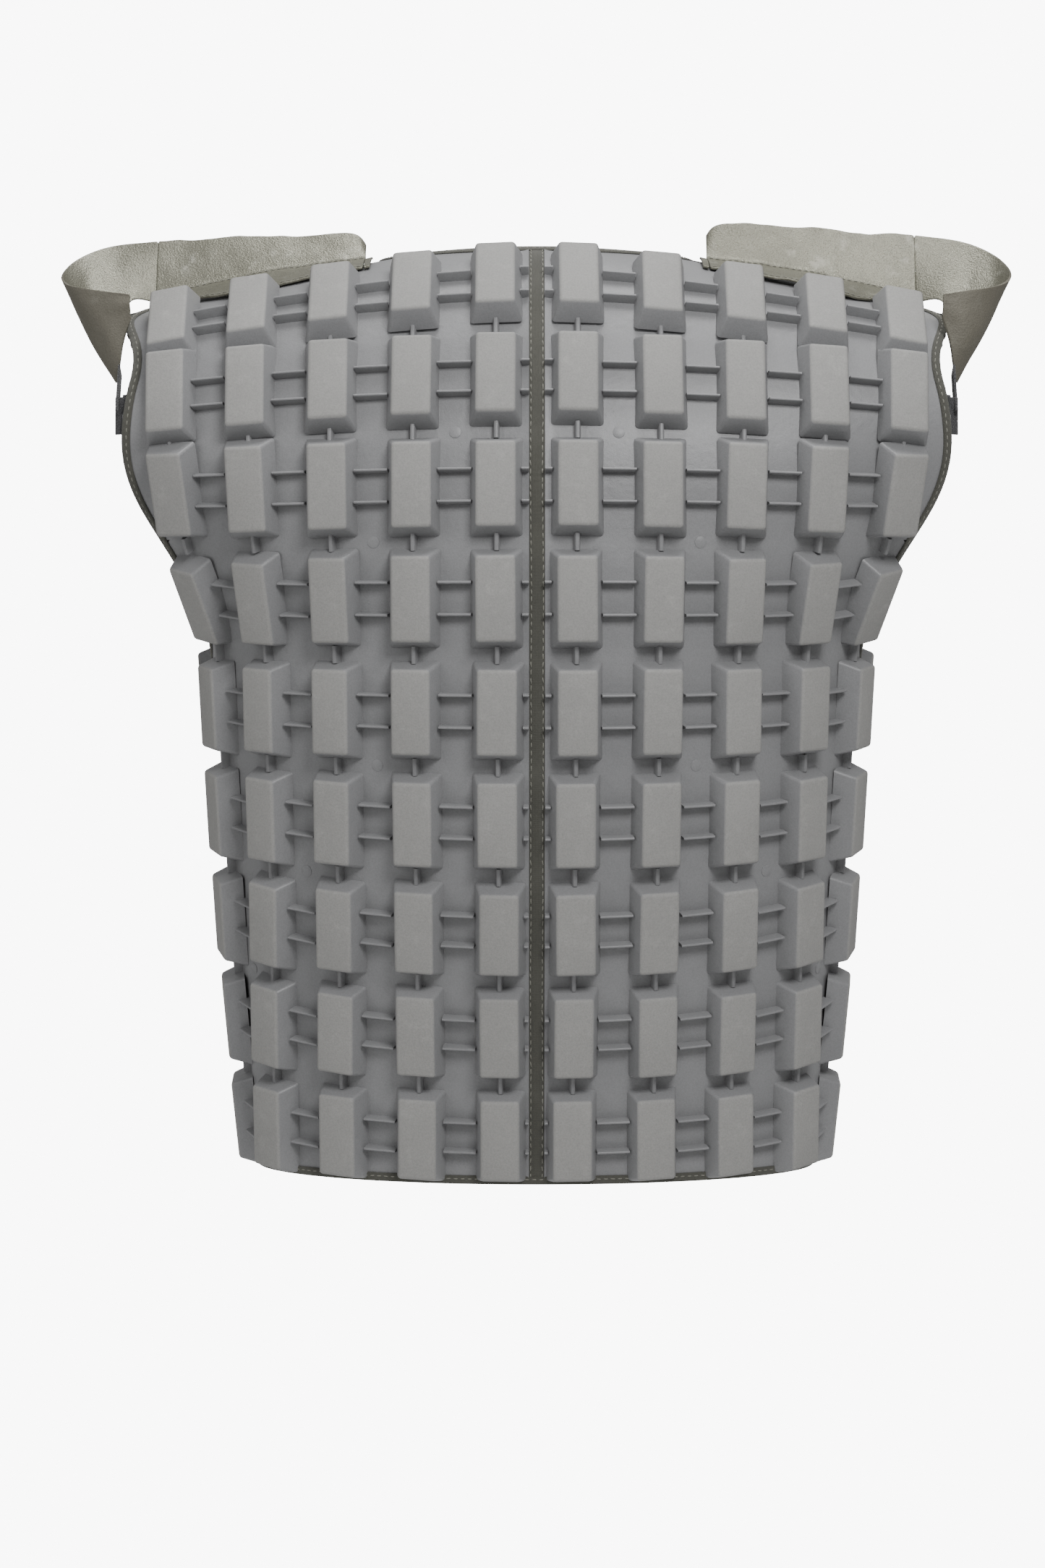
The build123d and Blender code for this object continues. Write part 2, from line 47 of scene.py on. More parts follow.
# --- The torso that the vest is cut for, in millimetres --------------------------------
HEM_HALF_WIDTH = 184.0
UNDERARM_HALF_WIDTH = 212.0
UNDERARM_HEIGHT = 330.0
SHOULDER_FLARE = 140.0
FLARE_START, FLARE_END = 340.0, 530.0
RIDGE_HEIGHT = 613.0
SHOULDER_SLOPE = 0.22
SLOPE_START = 400.0
SLOPE_POWER = 2.2
NECK_FLAT = 50.0
SIDE_SHARE = 0.22
FRONT_DEPTH = 85.0
CHEST_HEIGHT = 500.0
BACK_PROFILE = [
    (110, 0), (128, 100), (145, 165), (158, 232), (167, 320), (168, 372),
    (163, 442), (146, 510), (113, 572), (86, 596), (45, 609), (0, RIDGE_HEIGHT),
]
ARMHOLE = [
    (-12, UNDERARM_HEIGHT), (-80, 388), (-100.5, 436), (-112, 490), (-97, 533),
    (-50, 562), (4, 567), (52, 548), (68, 500), (60, 430), (34, 362),
]
NECK_HALF_WIDTH = 98.0
NECK_BACK_DEPTH = 73.0
NECK_FRONT_DROP = 105.0

# --- Tread sheet and its edges ---------------------------------------------------------
SHEET = 3.0
SHEET_STEP, SHEET_COLUMNS = 3.0, 84     # how finely the sheets are drawn
BLOCK_RELIEF = 14.0
BLOCK_WIDTH, BLOCK_LENGTH = 33.0, 62.0
BLOCK_TOP_WIDTH, BLOCK_TOP_LENGTH = 24.5, 53.0
ROW_PITCH, COLUMN_PITCH = 70.0, 52.0
FIRST_ROW = 33.0
ROWS, COLUMNS = 9, 5
FIRST_COLUMN_TOP, FIRST_COLUMN_HEM = 26.5, 22.5
FRONT_FIRST_COLUMN = 37.0
STRIP_HALF_WIDTH = 5.0
FRONT_GAP = 6.0
SEAM_HALF_WIDTH = 4.0
BINDING_WIDTH = 6.0
RIB_HEIGHT, RIB_THICKNESS, RIB_OFFSET = 7.0, 1.9, 10.0
ARM_EDGE = 266.0              # furthest point of the sheets over the arms
STITCH_LENGTH, STITCH_PITCH = 3.1, 5.0


def smooth(u):
    """0 to 1 with a soft start and end."""
    u = np.clip(u, 0.0, 1.0)
    return u * u * (3 - 2 * u)


def half_width(z):
    """Half the torso's width at a height."""
    lower = HEM_HALF_WIDTH + (UNDERARM_HALF_WIDTH - HEM_HALF_WIDTH) * z / UNDERARM_HEIGHT
    return lower + SHOULDER_FLARE * smooth((z - FLARE_START) / (FLARE_END - FLARE_START))


def shoulder_fall(x, z):
    """How far the shoulder has dropped at x, on the section at the height z."""
    felt = np.maximum(z - SLOPE_START, 0.0) / (RIDGE_HEIGHT - SLOPE_START)
    return SHOULDER_SLOPE * (np.hypot(x, NECK_FLAT) - NECK_FLAT) * felt ** SLOPE_POWER


def through(points, start=None, end=None, samples=400):
    """Smooth curve through points, as evenly spaced samples: lengths and points."""
    points = np.array(points, float)
    steps = np.linalg.norm(np.diff(points, axis=0), axis=1)
    n = len(points)
    matrix, right = np.eye(n), np.zeros_like(points)
    right[0] = start if start is not None else (points[1] - points[0]) / steps[0]
    right[-1] = end if end is not None else (points[-1] - points[-2]) / steps[-1]
    for i in range(1, n - 1):
        matrix[i, i - 1] = 1 / steps[i - 1]
        matrix[i, i] = 2 / steps[i - 1] + 2 / steps[i]
        matrix[i, i + 1] = 1 / steps[i]
        right[i] = 3 * ((points[i] - points[i - 1]) / steps[i - 1] ** 2
                        + (points[i + 1] - points[i]) / steps[i] ** 2)
    slopes = np.linalg.solve(matrix, right)
    dense = []
    for i in range(n - 1):
        u = np.linspace(0, 1, 40, endpoint=i == n - 2)[:, None]
        dense.append((2 * u**3 - 3 * u**2 + 1) * points[i] + (3 * u**2 - 2 * u**3) * points[i + 1]
                     + (u**3 - 2 * u**2 + u) * steps[i] * slopes[i]
                     + (u**3 - u**2) * steps[i] * slopes[i + 1])
    dense = np.vstack(dense)
    run = np.concatenate([[0], np.cumsum(np.linalg.norm(np.diff(dense, axis=0), axis=1))])
    even = np.linspace(0, run[-1], samples)
    return even, np.stack([np.interp(even, run, dense[:, k]) for k in range(dense.shape[1])], 1)


def profiles():
    """Length, depth and height up the middle of each face, from the hem to the ridge."""
    rise = RIDGE_HEIGHT - CHEST_HEIGHT
    bend = [(FRONT_DEPTH * math.cos(a), CHEST_HEIGHT + rise * math.sin(a))
            for a in np.linspace(0, math.pi / 2, 7)]
    lengths, points = through(bend, (0, 1), (-1, 0))
    lengths = np.concatenate([[0], lengths + CHEST_HEIGHT])
    points = np.vstack([[FRONT_DEPTH, 0], points])
    back = through([(-d, z) for d, z in BACK_PROFILE], (-0.119, 0.993), (1, 0))
    return {"back": (back[0], back[1][:, 0], back[1][:, 1]),
            "front": (lengths, points[:, 0], points[:, 1])}


PROFILES = profiles()
LENGTHS = {face: float(PROFILES[face][0][-1]) for face in PROFILES}
ANGLES = np.linspace(0, math.pi / 2, 181)


def section_table(face, t):
    """Height of a section, and lengths across from the centre with x and y at each."""
    lengths, depths, heights = PROFILES[face]
    height, depth = np.interp(t, lengths, heights), np.interp(t, lengths, depths)
    width = half_width(height)
    x = np.append(width * np.sin(ANGLES), width)
    y = np.append(depth * (SIDE_SHARE + (1 - SIDE_SHARE) * np.cos(ANGLES)), 0.0)
    run = np.concatenate([[0], np.cumsum(np.hypot(np.diff(x), np.diff(y)))])
    return height, run, x, y


def row_points(face, s, t):
    """Points of the torso at the lengths s across and one length t up."""
    height, run, xs, ys = section_table(face, t)
    s = np.asarray(s, float)
    x = np.interp(abs(s), run, xs) * np.sign(s)
    y = np.interp(abs(s), run, ys)
    return np.stack([x, y, height - shoulder_fall(x, height)], axis=-1)


def frames(face, s, t):
    """Points of one row with their normals and the directions across and up."""
    s = np.asarray(s, float)
    step = 1.5
    t_in = min(max(t, step), LENGTHS[face] - step)
    across = row_points(face, s + step, t) - row_points(face, s - step, t)
    up = row_points(face, s, t_in + step) - row_points(face, s, t_in - step)
    normal = np.cross(across, up) * (1 if face == "back" else -1)
    return [row_points(face, s, t)] + [
        v / np.maximum(np.linalg.norm(v, axis=-1, keepdims=True), 1e-9)
        for v in (normal, across, up)]


def frame_at(face, s, t):
    """Point, normal, across and up of one place."""
    return [v[0] for v in frames(face, [s], t)]


def reach(face, t):
    """Length across from the centre to the side seam."""
    return float(section_table(face, t)[1][-1])


def closed_curve(points, samples):
    """Smooth closed outline through points."""
    points = list(points)
    n = len(points)
    _, dense = through(points * 3, samples=samples * 9)
    run = np.concatenate([[0], np.cumsum(np.linalg.norm(np.diff(dense, axis=0), axis=1))])
    first = np.argmin(np.linalg.norm(dense[:len(dense) // 2] - points[0], axis=1)
                      + (run[:len(dense) // 2] < run[-1] * 0.2) * 1e6)
    second = first + np.argmin(np.linalg.norm(dense[first + 50:] - points[0], axis=1)) + 50
    loop = dense[first:second]
    run = run[first:second] - run[first]
    even = np.linspace(0, run[-1], samples, endpoint=False)
    return np.stack([np.interp(even, run, loop[:, k]) for k in range(2)], 1)


def grown(outline, margin):
    """A closed outline moved outwards."""
    along = np.roll(outline, -1, axis=0) - np.roll(outline, 1, axis=0)
    normal = np.stack([along[:, 1], -along[:, 0]], 1)
    normal /= np.linalg.norm(normal, axis=1, keepdims=True)
    if np.sum((outline - outline.mean(0)) * normal) < 0:
        normal = -normal
    return outline + normal * margin


def inside(outline, a, b):
    """Mask of the points (a, b) that lie inside a closed outline."""
    a, b = np.asarray(a, float), np.asarray(b, float)
    found = np.zeros(a.shape, bool)
    for (a0, b0), (a1, b1) in zip(outline, np.roll(outline, -1, axis=0)):
        if b0 == b1:
            continue
        crosses = (b0 > b) != (b1 > b)
        found ^= crosses & (a < a0 + (b - b0) * (a1 - a0) / (b1 - b0))
    return found


ARM_LOOP = closed_curve(ARMHOLE, 220)


def in_neck(points, margin):
    """Mask of the points inside the neck opening, grown by a margin."""
    x, y, z = points[..., 0], points[..., 1], points[..., 2]
    wide = NECK_HALF_WIDTH + margin
    behind = (y <= 0) & ((x / wide) ** 2 + (y / (NECK_BACK_DEPTH + margin)) ** 2 < 1)
    scoop = (x / wide) ** 2 + ((RIDGE_HEIGHT - z) / (NECK_FRONT_DROP + margin)) ** 2 < 1
    return (behind & (z > CHEST_HEIGHT)) | ((y > 0) & scoop & (z > CHEST_HEIGHT - 60))


def in_armhole(points, margin):
    """Mask of the points inside an armhole, grown by a margin."""
    return inside(grown(ARM_LOOP, margin), points[..., 1], points[..., 2]) & (
        abs(points[..., 0]) > 150)


def block_places(face):
    """Lengths across and up of every block on the right half of a face."""
    places = []
    for row in range(ROWS):
        t = FIRST_ROW + row * ROW_PITCH
        height = section_table(face, t)[0]
        if face == "back":
            first = FIRST_COLUMN_HEM + (FIRST_COLUMN_TOP - FIRST_COLUMN_HEM) * t / LENGTHS[face]
        else:
            first = FRONT_FIRST_COLUMN
        for column in range(COLUMNS):
            s = first + column * COLUMN_PITCH
            middle = row_points(face, [s], t)[0]
            outer = row_points(face, [s + BLOCK_WIDTH / 2], t)[0]
            top = row_points(face, [s], t + BLOCK_LENGTH / 2)[0]
            if s > reach(face, t) - SEAM_HALF_WIDTH:
                continue
            if height > UNDERARM_HEIGHT and (
                    inside(ARM_LOOP, middle[1], middle[2]) or outer[0] > ARM_EDGE):
                continue
            if face == "front":
                near = max(abs(top[0]) - BLOCK_WIDTH / 2, 0) / (NECK_HALF_WIDTH + 5)
                down = (RIDGE_HEIGHT - top[2]) / (NECK_FRONT_DROP + 5)
                if near ** 2 + down ** 2 < 1:
                    continue
            if t + BLOCK_LENGTH / 2 > LENGTHS[face] - 10:
                continue
            places.append((column, row, s, t))
    return places


# --- Mesh helpers ----------------------------------------------------------------------
def deselect():
    if bpy.context.object and bpy.context.object.mode != "OBJECT":
        bpy.ops.object.mode_set(mode="OBJECT")
    bpy.ops.object.select_all(action="DESELECT")


def active(obj):
    deselect()
    obj.select_set(True)
    bpy.context.view_layer.objects.active = obj


def modify(obj, kind, **values):
    """Adds a modifier, sets it and applies it."""
    active(obj)
    modifier = obj.modifiers.new(kind.lower(), kind)
    for name, value in values.items():
        setattr(modifier, name, value)
    bpy.ops.object.modifier_apply(modifier=modifier.name)


def mesh_arrays(obj):
    """Vertices and faces of an object's mesh."""
    co = np.zeros(len(obj.data.vertices) * 3)
    obj.data.vertices.foreach_get("co", co)
    return co.reshape(-1, 3), [tuple(p.vertices) for p in obj.data.polygons]


def new_mesh(name, points, faces):
    mesh = bpy.data.meshes.new(name)
    mesh.from_pydata([tuple(p) for p in points], [], faces)
    mesh.update()
    obj = bpy.data.objects.new(name, mesh)
    bpy.context.scene.collection.objects.link(obj)
    return obj


def sheet_grid(name, points, keep=None):
    """A flat grid laid on rows of points, in millimetres; keep masks its points."""
    rows, columns = points.shape[:2]
    deselect()
    bpy.ops.mesh.primitive_grid_add(x_subdivisions=columns - 1, y_subdivisions=rows - 1, size=1)
    obj = bpy.context.object
    obj.name = obj.data.name = name
    obj.data.vertices.foreach_set("co", (points * MM).astype(np.float32).ravel())
    if keep is not None:
        mesh = bmesh.new()
        mesh.from_mesh(obj.data)
        mesh.verts.ensure_lookup_table()
        drop = [mesh.verts[i] for i in np.flatnonzero(~keep.ravel())]
        bmesh.ops.delete(mesh, geom=drop, context="VERTS")
        loose = [v for v in mesh.verts if not v.link_faces]
        bmesh.ops.delete(mesh, geom=loose, context="VERTS")
        mesh.to_mesh(obj.data)
        mesh.free()
    obj.data.update()
    return obj


def face_outwards(obj):
    active(obj)
    bpy.ops.object.mode_set(mode="EDIT")
    bpy.ops.mesh.select_all(action="SELECT")
    bpy.ops.mesh.normals_make_consistent(inside=False)
    bpy.ops.object.mode_set(mode="OBJECT")


def shade(obj, angle=40):
    active(obj)
    bpy.ops.object.shade_smooth_by_angle(angle=math.radians(angle))


def paint(obj, *materials):
    obj.data.materials.clear()
    for material in materials:
        obj.data.materials.append(material)


# --- Shader maths ----------------------------------------------------------------------
class Wire:
    """An output of a material's nodes; arithmetic on it adds Math nodes."""

    def __init__(self, finish, socket):
        self.finish = finish
        self.socket = socket

    def maths(self, operation, *values):
        return self.finish.add("ShaderNodeMath", {"operation": operation},
                               dict(enumerate(values)))

    def __add__(self, other):
        return self.maths("ADD", self, other)

    def __sub__(self, other):
        return self.maths("SUBTRACT", self, other)

    def __rsub__(self, other):
        return self.maths("SUBTRACT", other, self)

    def __mul__(self, other):
        return self.maths("MULTIPLY", self, other)

    __radd__, __rmul__ = __add__, __mul__

    def between(self, low, high):
        """0 below low, 1 above high, smooth in between."""
        return self.finish.add("ShaderNodeMapRange", {"interpolation_type": "SMOOTHSTEP"},
                               {"Value": self, "From Min": low, "From Max": high})


class Finish:
    """A material built from a Principled shader."""

    def __init__(self, name, **constants):
        self.material = bpy.data.materials.new(name)
        self.material.use_nodes = True
        self.tree = self.material.node_tree
        self.shader = self.tree.nodes["Principled BSDF"]
        for socket, value in constants.items():
            self.shader.inputs[socket.replace("_", " ")].default_value = value
        self.place = self.add("ShaderNodeTexCoord", {}, {}, "Object")

    def add(self, kind, settings, sockets, output=0):
        """One node: its settings are set first, then the values or links of its sockets."""
        node = self.tree.nodes.new(kind)
        for name, value in settings.items():
            setattr(node, name, value)
        for name, value in sockets.items():
            if isinstance(value, Wire):
                self.tree.links.new(value.socket, node.inputs[name])
            else:
                node.inputs[name].default_value = value
        return Wire(self, node.outputs[output])

    def noise(self, size, detail=3.0, roughness=0.5):
        """Noise whose features are about size metres across."""
        return self.add("ShaderNodeTexNoise", {}, {
            "Vector": self.place, "Scale": 1 / size, "Detail": detail,
            "Roughness": roughness})

    def cells(self, size, feature="F1"):
        """Distance to the middles of cells about size metres across."""
        return self.add("ShaderNodeTexVoronoi", {"feature": feature}, {
            "Vector": self.place, "Scale": 1 / size}, "Distance")

    def attribute(self, name):
        return self.add("ShaderNodeAttribute", {"attribute_name": name}, {}, "Fac")

    def sine(self, value):
        return self.add("ShaderNodeMath", {"operation": "SINE"}, {0: value})

    def mixed(self, share, first, second):
        """Colour between two colours."""
        def colour(value):
            return value if isinstance(value, Wire) else (*value, 1.0)
        return self.add("ShaderNodeMix", {"data_type": "RGBA"},
                        {0: share, 6: colour(first), 7: colour(second)}, 2)

    def finish(self, colour=None, roughness=None, height=None, depth=0.0002, **links):
        if colour is not None:
            self.tree.links.new(colour.socket, self.shader.inputs["Base Color"])
        if roughness is not None:
            self.tree.links.new(roughness.socket, self.shader.inputs["Roughness"])
        if height is not None:
            bump = self.add("ShaderNodeBump", {}, {"Height": height, "Distance": depth})
            self.tree.links.new(bump.socket, self.shader.inputs["Normal"])
        for socket, value in links.items():
            self.tree.links.new(value.socket, self.shader.inputs[socket.replace("_", " ")])
        return self.material


# --- Finishes --------------------------------------------------------------------------
THREADS = 5200.0              # a weave's phase for each metre


def tread_rubber():
    """Moulded rubber: a faintly glossy sheet with matte block tops, whose lighter colour is
    painted light from above.
    """
    f = Finish("tread_rubber", Specular_IOR_Level=0.42)
    relief = f.attribute("relief")
    top = relief.between(0.86, 0.97)
    cloud = f.noise(0.06, 4.0)
    speck = f.noise(0.0011, 5.0, 0.7)
    scuff = f.noise(0.011, 8.0, 0.72).between(0.5, 0.78)
    dull = f.mixed(cloud, (0.175, 0.176, 0.180), (0.235, 0.236, 0.240))
    # Painted light: the block tops get a lighter colour, a painted highlight where light from
    # above falls on them.
    painted_lit_tops = f.mixed(cloud, (0.225, 0.223, 0.214), (0.290, 0.286, 0.275))
    colour = f.mixed(top, dull, painted_lit_tops)
    colour = f.mixed(scuff * top * 0.45, colour, (0.36, 0.355, 0.34))
    colour = f.mixed(speck.between(0.35, 0.72) * 0.30, colour, (0.12, 0.12, 0.122))
    rough = 0.40 + top * 0.34 + (cloud - 0.5) * 0.16 + scuff * 0.05
    grain = f.noise(0.0007, 3.0, 0.6) * 0.6 + f.noise(0.0042, 3.0) * 1.3
    return f.finish(colour, rough, grain, 0.00016)


def woven_tape():
    """Narrow olive-grey tape with a fine diagonal weave."""
    f = Finish("woven_tape", Specular_IOR_Level=0.3, Sheen_Weight=0.15, Sheen_Roughness=0.5)
    split = f.add("ShaderNodeSeparateXYZ", {}, {0: f.place}, "X").socket.node
    x, y, z = (Wire(f, split.outputs[k]) for k in range(3))
    rib = f.sine((x + z + y) * THREADS)
    pick = f.sine((z - x + y) * THREADS)
    weave = rib * pick
    cloud = f.noise(0.02, 4.0)
    fuzz = f.noise(0.0008, 4.0, 0.7)
    colour = f.mixed(cloud, (0.050, 0.050, 0.041), (0.076, 0.075, 0.062))
    colour = f.mixed(weave.between(-0.6, 0.9) * 0.42, colour, (0.115, 0.113, 0.096))
    colour = f.mixed(fuzz.between(0.55, 0.8) * 0.3, colour, (0.15, 0.148, 0.128))
    return f.finish(colour, 0.72 + fuzz * 0.2, weave * 0.6 + fuzz, 0.00022)


def silver_leather():
    """Metallised leatherette: a fine pebble grain under a pearly, slightly worn coat."""
    f = Finish("silver_leather", Specular_IOR_Level=0.5, Coat_Roughness=0.35)
    grain = f.cells(0.0011, "SMOOTH_F1")
    fine = f.noise(0.0006, 4.0, 0.65)
    crease = f.noise(0.016, 6.0, 0.62)
    cloud = f.noise(0.05, 3.0)
    colour = f.mixed(cloud, (0.135, 0.131, 0.100), (0.245, 0.241, 0.196))
    colour = f.mixed(fine.between(0.48, 0.68) * 0.7, colour, (0.050, 0.048, 0.034))
    colour = f.mixed(crease.between(0.56, 0.72) * 0.4, colour, (0.44, 0.435, 0.38))
    back = f.attribute("reverse")
    colour = f.mixed(back * 0.75, colour, (0.10, 0.09, 0.07))
    metal = (0.62 - back * 0.45) + (cloud - 0.5) * 0.1
    rough = 0.30 + fine * 0.24 + crease.between(0.5, 0.8) * 0.12 + back * 0.25
    return f.finish(colour, rough, grain * 0.8 + crease * 2.2 + fine * 0.5, 0.0003,
                    Metallic=metal)


def spacer_mesh():
    """Open spacer mesh: round holes between smooth cords."""
    f = Finish("spacer_mesh", Specular_IOR_Level=0.25, Sheen_Weight=0.2)
    holes = f.cells(0.0038)
    cord = holes.between(0.30, 0.46)
    fuzz = f.noise(0.0007, 4.0, 0.7)
    colour = f.mixed(cord, (0.012, 0.012, 0.013), (0.060, 0.061, 0.064))
    colour = f.mixed(fuzz.between(0.5, 0.8) * 0.3, colour, (0.10, 0.10, 0.105))
    return f.finish(colour, 0.78 + fuzz * 0.15, cord * 2.0 + fuzz * 0.5, 0.0006)


def hook_fabric():
    """Hook and loop tape: stiff black pile."""
    f = Finish("hook_fabric", Specular_IOR_Level=0.3, Sheen_Weight=0.3)
    pile = f.cells(0.0009)
    fuzz = f.noise(0.0005, 4.0, 0.75)
    colour = f.mixed(fuzz, (0.010, 0.010, 0.011), (0.055, 0.055, 0.058))
    return f.finish(colour, 0.82 + fuzz * 0.12, (1 - pile) + fuzz, 0.0006)


def pressed_metal():
    """Nickel-plated pressed aluminium with fine turning marks."""
    f = Finish("pressed_metal", Metallic=1.0)
    wear = f.noise(0.004, 5.0, 0.6)
    fine = f.noise(0.0004, 3.0)
    colour = f.mixed(wear, (0.50, 0.50, 0.49), (0.68, 0.68, 0.665))
    return f.finish(colour, 0.22 + wear * 0.2, fine, 0.00003)


def thread(name, dark, light):
    f = Finish(name, Specular_IOR_Level=0.35)
    ply = f.noise(0.0004, 4.0, 0.6)
    return f.finish(f.mixed(ply, dark, light), 0.6 + ply * 0.25, ply, 0.0001)


RUBBER, TAPE, SILVER = tread_rubber(), woven_tape(), silver_leather()
MESH, HOOK, METAL = spacer_mesh(), hook_fabric(), pressed_metal()
THREAD = thread("olive_thread", (0.13, 0.128, 0.108), (0.24, 0.236, 0.205))

SIDES = {"left": -1, "right": 1}
chance = np.random.default_rng(7)


def place(obj, body, slot, *nodes):
    """Says what a finished piece rides on and hides the nodes it stands for; slot is not used."""
    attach(obj, body)
    if nodes:
        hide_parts(*nodes)


# --- Small shapes that repeat ----------------------------------------------------------
def unit_from(obj):
    """Takes a modelled shape's mesh as a unit to copy, and removes its object."""
    unit = mesh_arrays(obj)
    bpy.data.objects.remove(obj, do_unlink=True)
    return unit


def block_unit():
    """Tread block in millimetres: drafted sides, softened edges, its root at -1.2."""
    deselect()
    bpy.ops.mesh.primitive_cube_add(size=1, location=(0, 0, 0))
    obj = bpy.context.object
    mesh = bmesh.new()
    mesh.from_mesh(obj.data)
    for v in mesh.verts:
        high = v.co.z > 0
        v.co.x *= BLOCK_TOP_WIDTH if high else BLOCK_WIDTH
        v.co.y *= BLOCK_TOP_LENGTH if high else BLOCK_LENGTH
        v.co.z = BLOCK_RELIEF if high else -1.2
    mesh.to_mesh(obj.data)
    mesh.free()
    active(obj)
    bpy.ops.object.mode_set(mode="EDIT")
    bpy.ops.mesh.select_mode(type="EDGE")
    bpy.ops.mesh.select_all(action="DESELECT")
    bpy.ops.object.mode_set(mode="OBJECT")
    for edge in obj.data.edges:
        a, b = (obj.data.vertices[v].co for v in edge.vertices)
        edge.select = not (a.z < 0 and b.z < 0)
    bpy.ops.object.mode_set(mode="EDIT")
    bpy.ops.mesh.bevel(offset=2.1, segments=3, profile=0.5, affect="EDGES")
    bpy.ops.object.mode_set(mode="OBJECT")
    return unit_from(obj)


def rib_unit():
    """Thin rib of unit length along x, RIB_HEIGHT high, drafted, root at -1."""
    deselect()
    bpy.ops.mesh.primitive_cube_add(size=1)
    obj = bpy.context.object
    mesh = bmesh.new()
    mesh.from_mesh(obj.data)
    for v in mesh.verts:
        high = v.co.z > 0
        v.co.y *= RIB_THICKNESS * (0.8 if high else 1.5)
        v.co.z = RIB_HEIGHT if high else -1.0
    top = [e for e in mesh.edges if all(v.co.z > 0 for v in e.verts)
           and abs(e.verts[0].co.x - e.verts[1].co.x) > 0.5]
    bmesh.ops.bevel(mesh, geom=top, offset=0.6, segments=2, profile=0.5, affect="EDGES")
    mesh.to_mesh(obj.data)
    mesh.free()
    return unit_from(obj)


def mark_unit():
    """Shallow round mark that the mould's ejector pin leaves."""
    deselect()
    bpy.ops.mesh.primitive_cylinder_add(vertices=20, radius=3.8, depth=1.0, location=(0, 0, -0.2))
    obj = bpy.context.object
    active(obj)
    bpy.ops.object.transform_apply(location=True, rotation=False, scale=False)
    modify(obj, "BEVEL", width=0.25, segments=2, limit_method="ANGLE")
    return unit_from(obj)


def stitch_unit():
    """One stitch along x, unit length, 0.35 high, dipping into the cloth at both ends."""
    deselect()
    bpy.ops.mesh.primitive_cylinder_add(vertices=6, radius=1, depth=1, end_fill_type="TRIFAN")
    obj = bpy.context.object
    mesh = bmesh.new()
    mesh.from_mesh(obj.data)
    sides = [e for e in mesh.edges if abs(e.verts[0].co.z - e.verts[1].co.z) > 0.5]
    bmesh.ops.subdivide_edges(mesh, edges=sides, cuts=3)
    for v in mesh.verts:
        x = v.co.z
        dip = (2 * abs(x)) ** 2
        v.co = Vector((x, v.co.x * 0.42 * (1 - 0.35 * dip), v.co.y * 0.32 - 0.45 * dip + 0.1))
    bmesh.ops.recalc_face_normals(mesh, faces=mesh.faces)
    mesh.to_mesh(obj.data)
    mesh.free()
    return unit_from(obj)


BLOCK, RIB, MARK, STITCH = block_unit(), rib_unit(), mark_unit(), stitch_unit()


# --- Tread panels ----------------------------------------------------------------------
def panel_blocks(face):
    """Block places of a right half, drawn in a little where an armhole's edge is near."""
    places = {}
    for column, row, s, t in block_places(face):
        for _ in range(9):
            edge = row_points(face, [s + BLOCK_WIDTH / 2 - 1.5], t)
            low = row_points(face, [s + BLOCK_WIDTH / 2 - 3], t - BLOCK_LENGTH / 3)
            if not (in_armhole(edge, 3.0).any() or in_armhole(low, 3.0).any()):
                break
            s -= 1.0
        places[column, row] = (s, t)
    return places


def unit_at(unit, face, s, t, size=(1, 1, 1), turn=0.0, wander=0.0):
    """Points of a unit set on the torso, turned about the normal, with its height as relief."""
    origin, normal, _, up = frame_at(face, s, t)
    across = np.cross(up, normal)
    angle = math.radians(turn)
    x = across * math.cos(angle) + up * math.sin(angle)
    y = np.cross(normal, x)
    co = unit[0] * np.array(size)
    if wander:
        origin = origin + (x * chance.normal() + y * chance.normal()) * wander
    return origin + co[:, :1] * x + co[:, 1:2] * y + co[:, 2:3] * normal


class Gathered:
    """Copies of units collected into one mesh, with how high each point stands."""

    def __init__(self):
        self.points, self.faces, self.relief, self.count = [], [], [], 0

    def take(self, points, faces, relief):
        self.points.append(points)
        self.relief.append(np.broadcast_to(relief, len(points)))
        self.faces += [tuple(self.count + v for v in face) for face in faces]
        self.count += len(points)

    def made(self, name):
        obj = new_mesh(name, np.vstack(self.points) * MM, self.faces)
        layer = obj.data.attributes.new("relief", "FLOAT", "POINT")
        layer.data.foreach_set("value", np.concatenate(self.relief).astype(np.float32))
        return obj


def panel_grid(face):
    """Rows of points of a right half's rubber sheet, and which of them are kept."""
    inner = STRIP_HALF_WIDTH if face == "back" else FRONT_GAP
    rows = int((LENGTHS[face] - 6) / SHEET_STEP)
    share = np.linspace(0, 1, SHEET_COLUMNS)
    points = []
    for t in np.linspace(2.5, LENGTHS[face] - SEAM_HALF_WIDTH + 1, rows):
        far = reach(face, t) - SEAM_HALF_WIDTH + 1
        height, run, xs, _ = section_table(face, t)
        limit = float(np.interp(ARM_EDGE, xs[:-1], run[:-1]))
        far += (min(far, limit) - far) * float(smooth((height - 360) / 70))
        s = inner + (far - inner) * share
        row, normal, _, _ = frames(face, s, t)
        lip = np.exp(-(s - inner) / 2.5)[:, None]
        points.append(row + normal * lip * (1.1 if face == "back" else 0.4))
    points = np.array(points)
    keep = ~(in_armhole(points, -0.4) | in_neck(points, -0.4))
    return points, keep


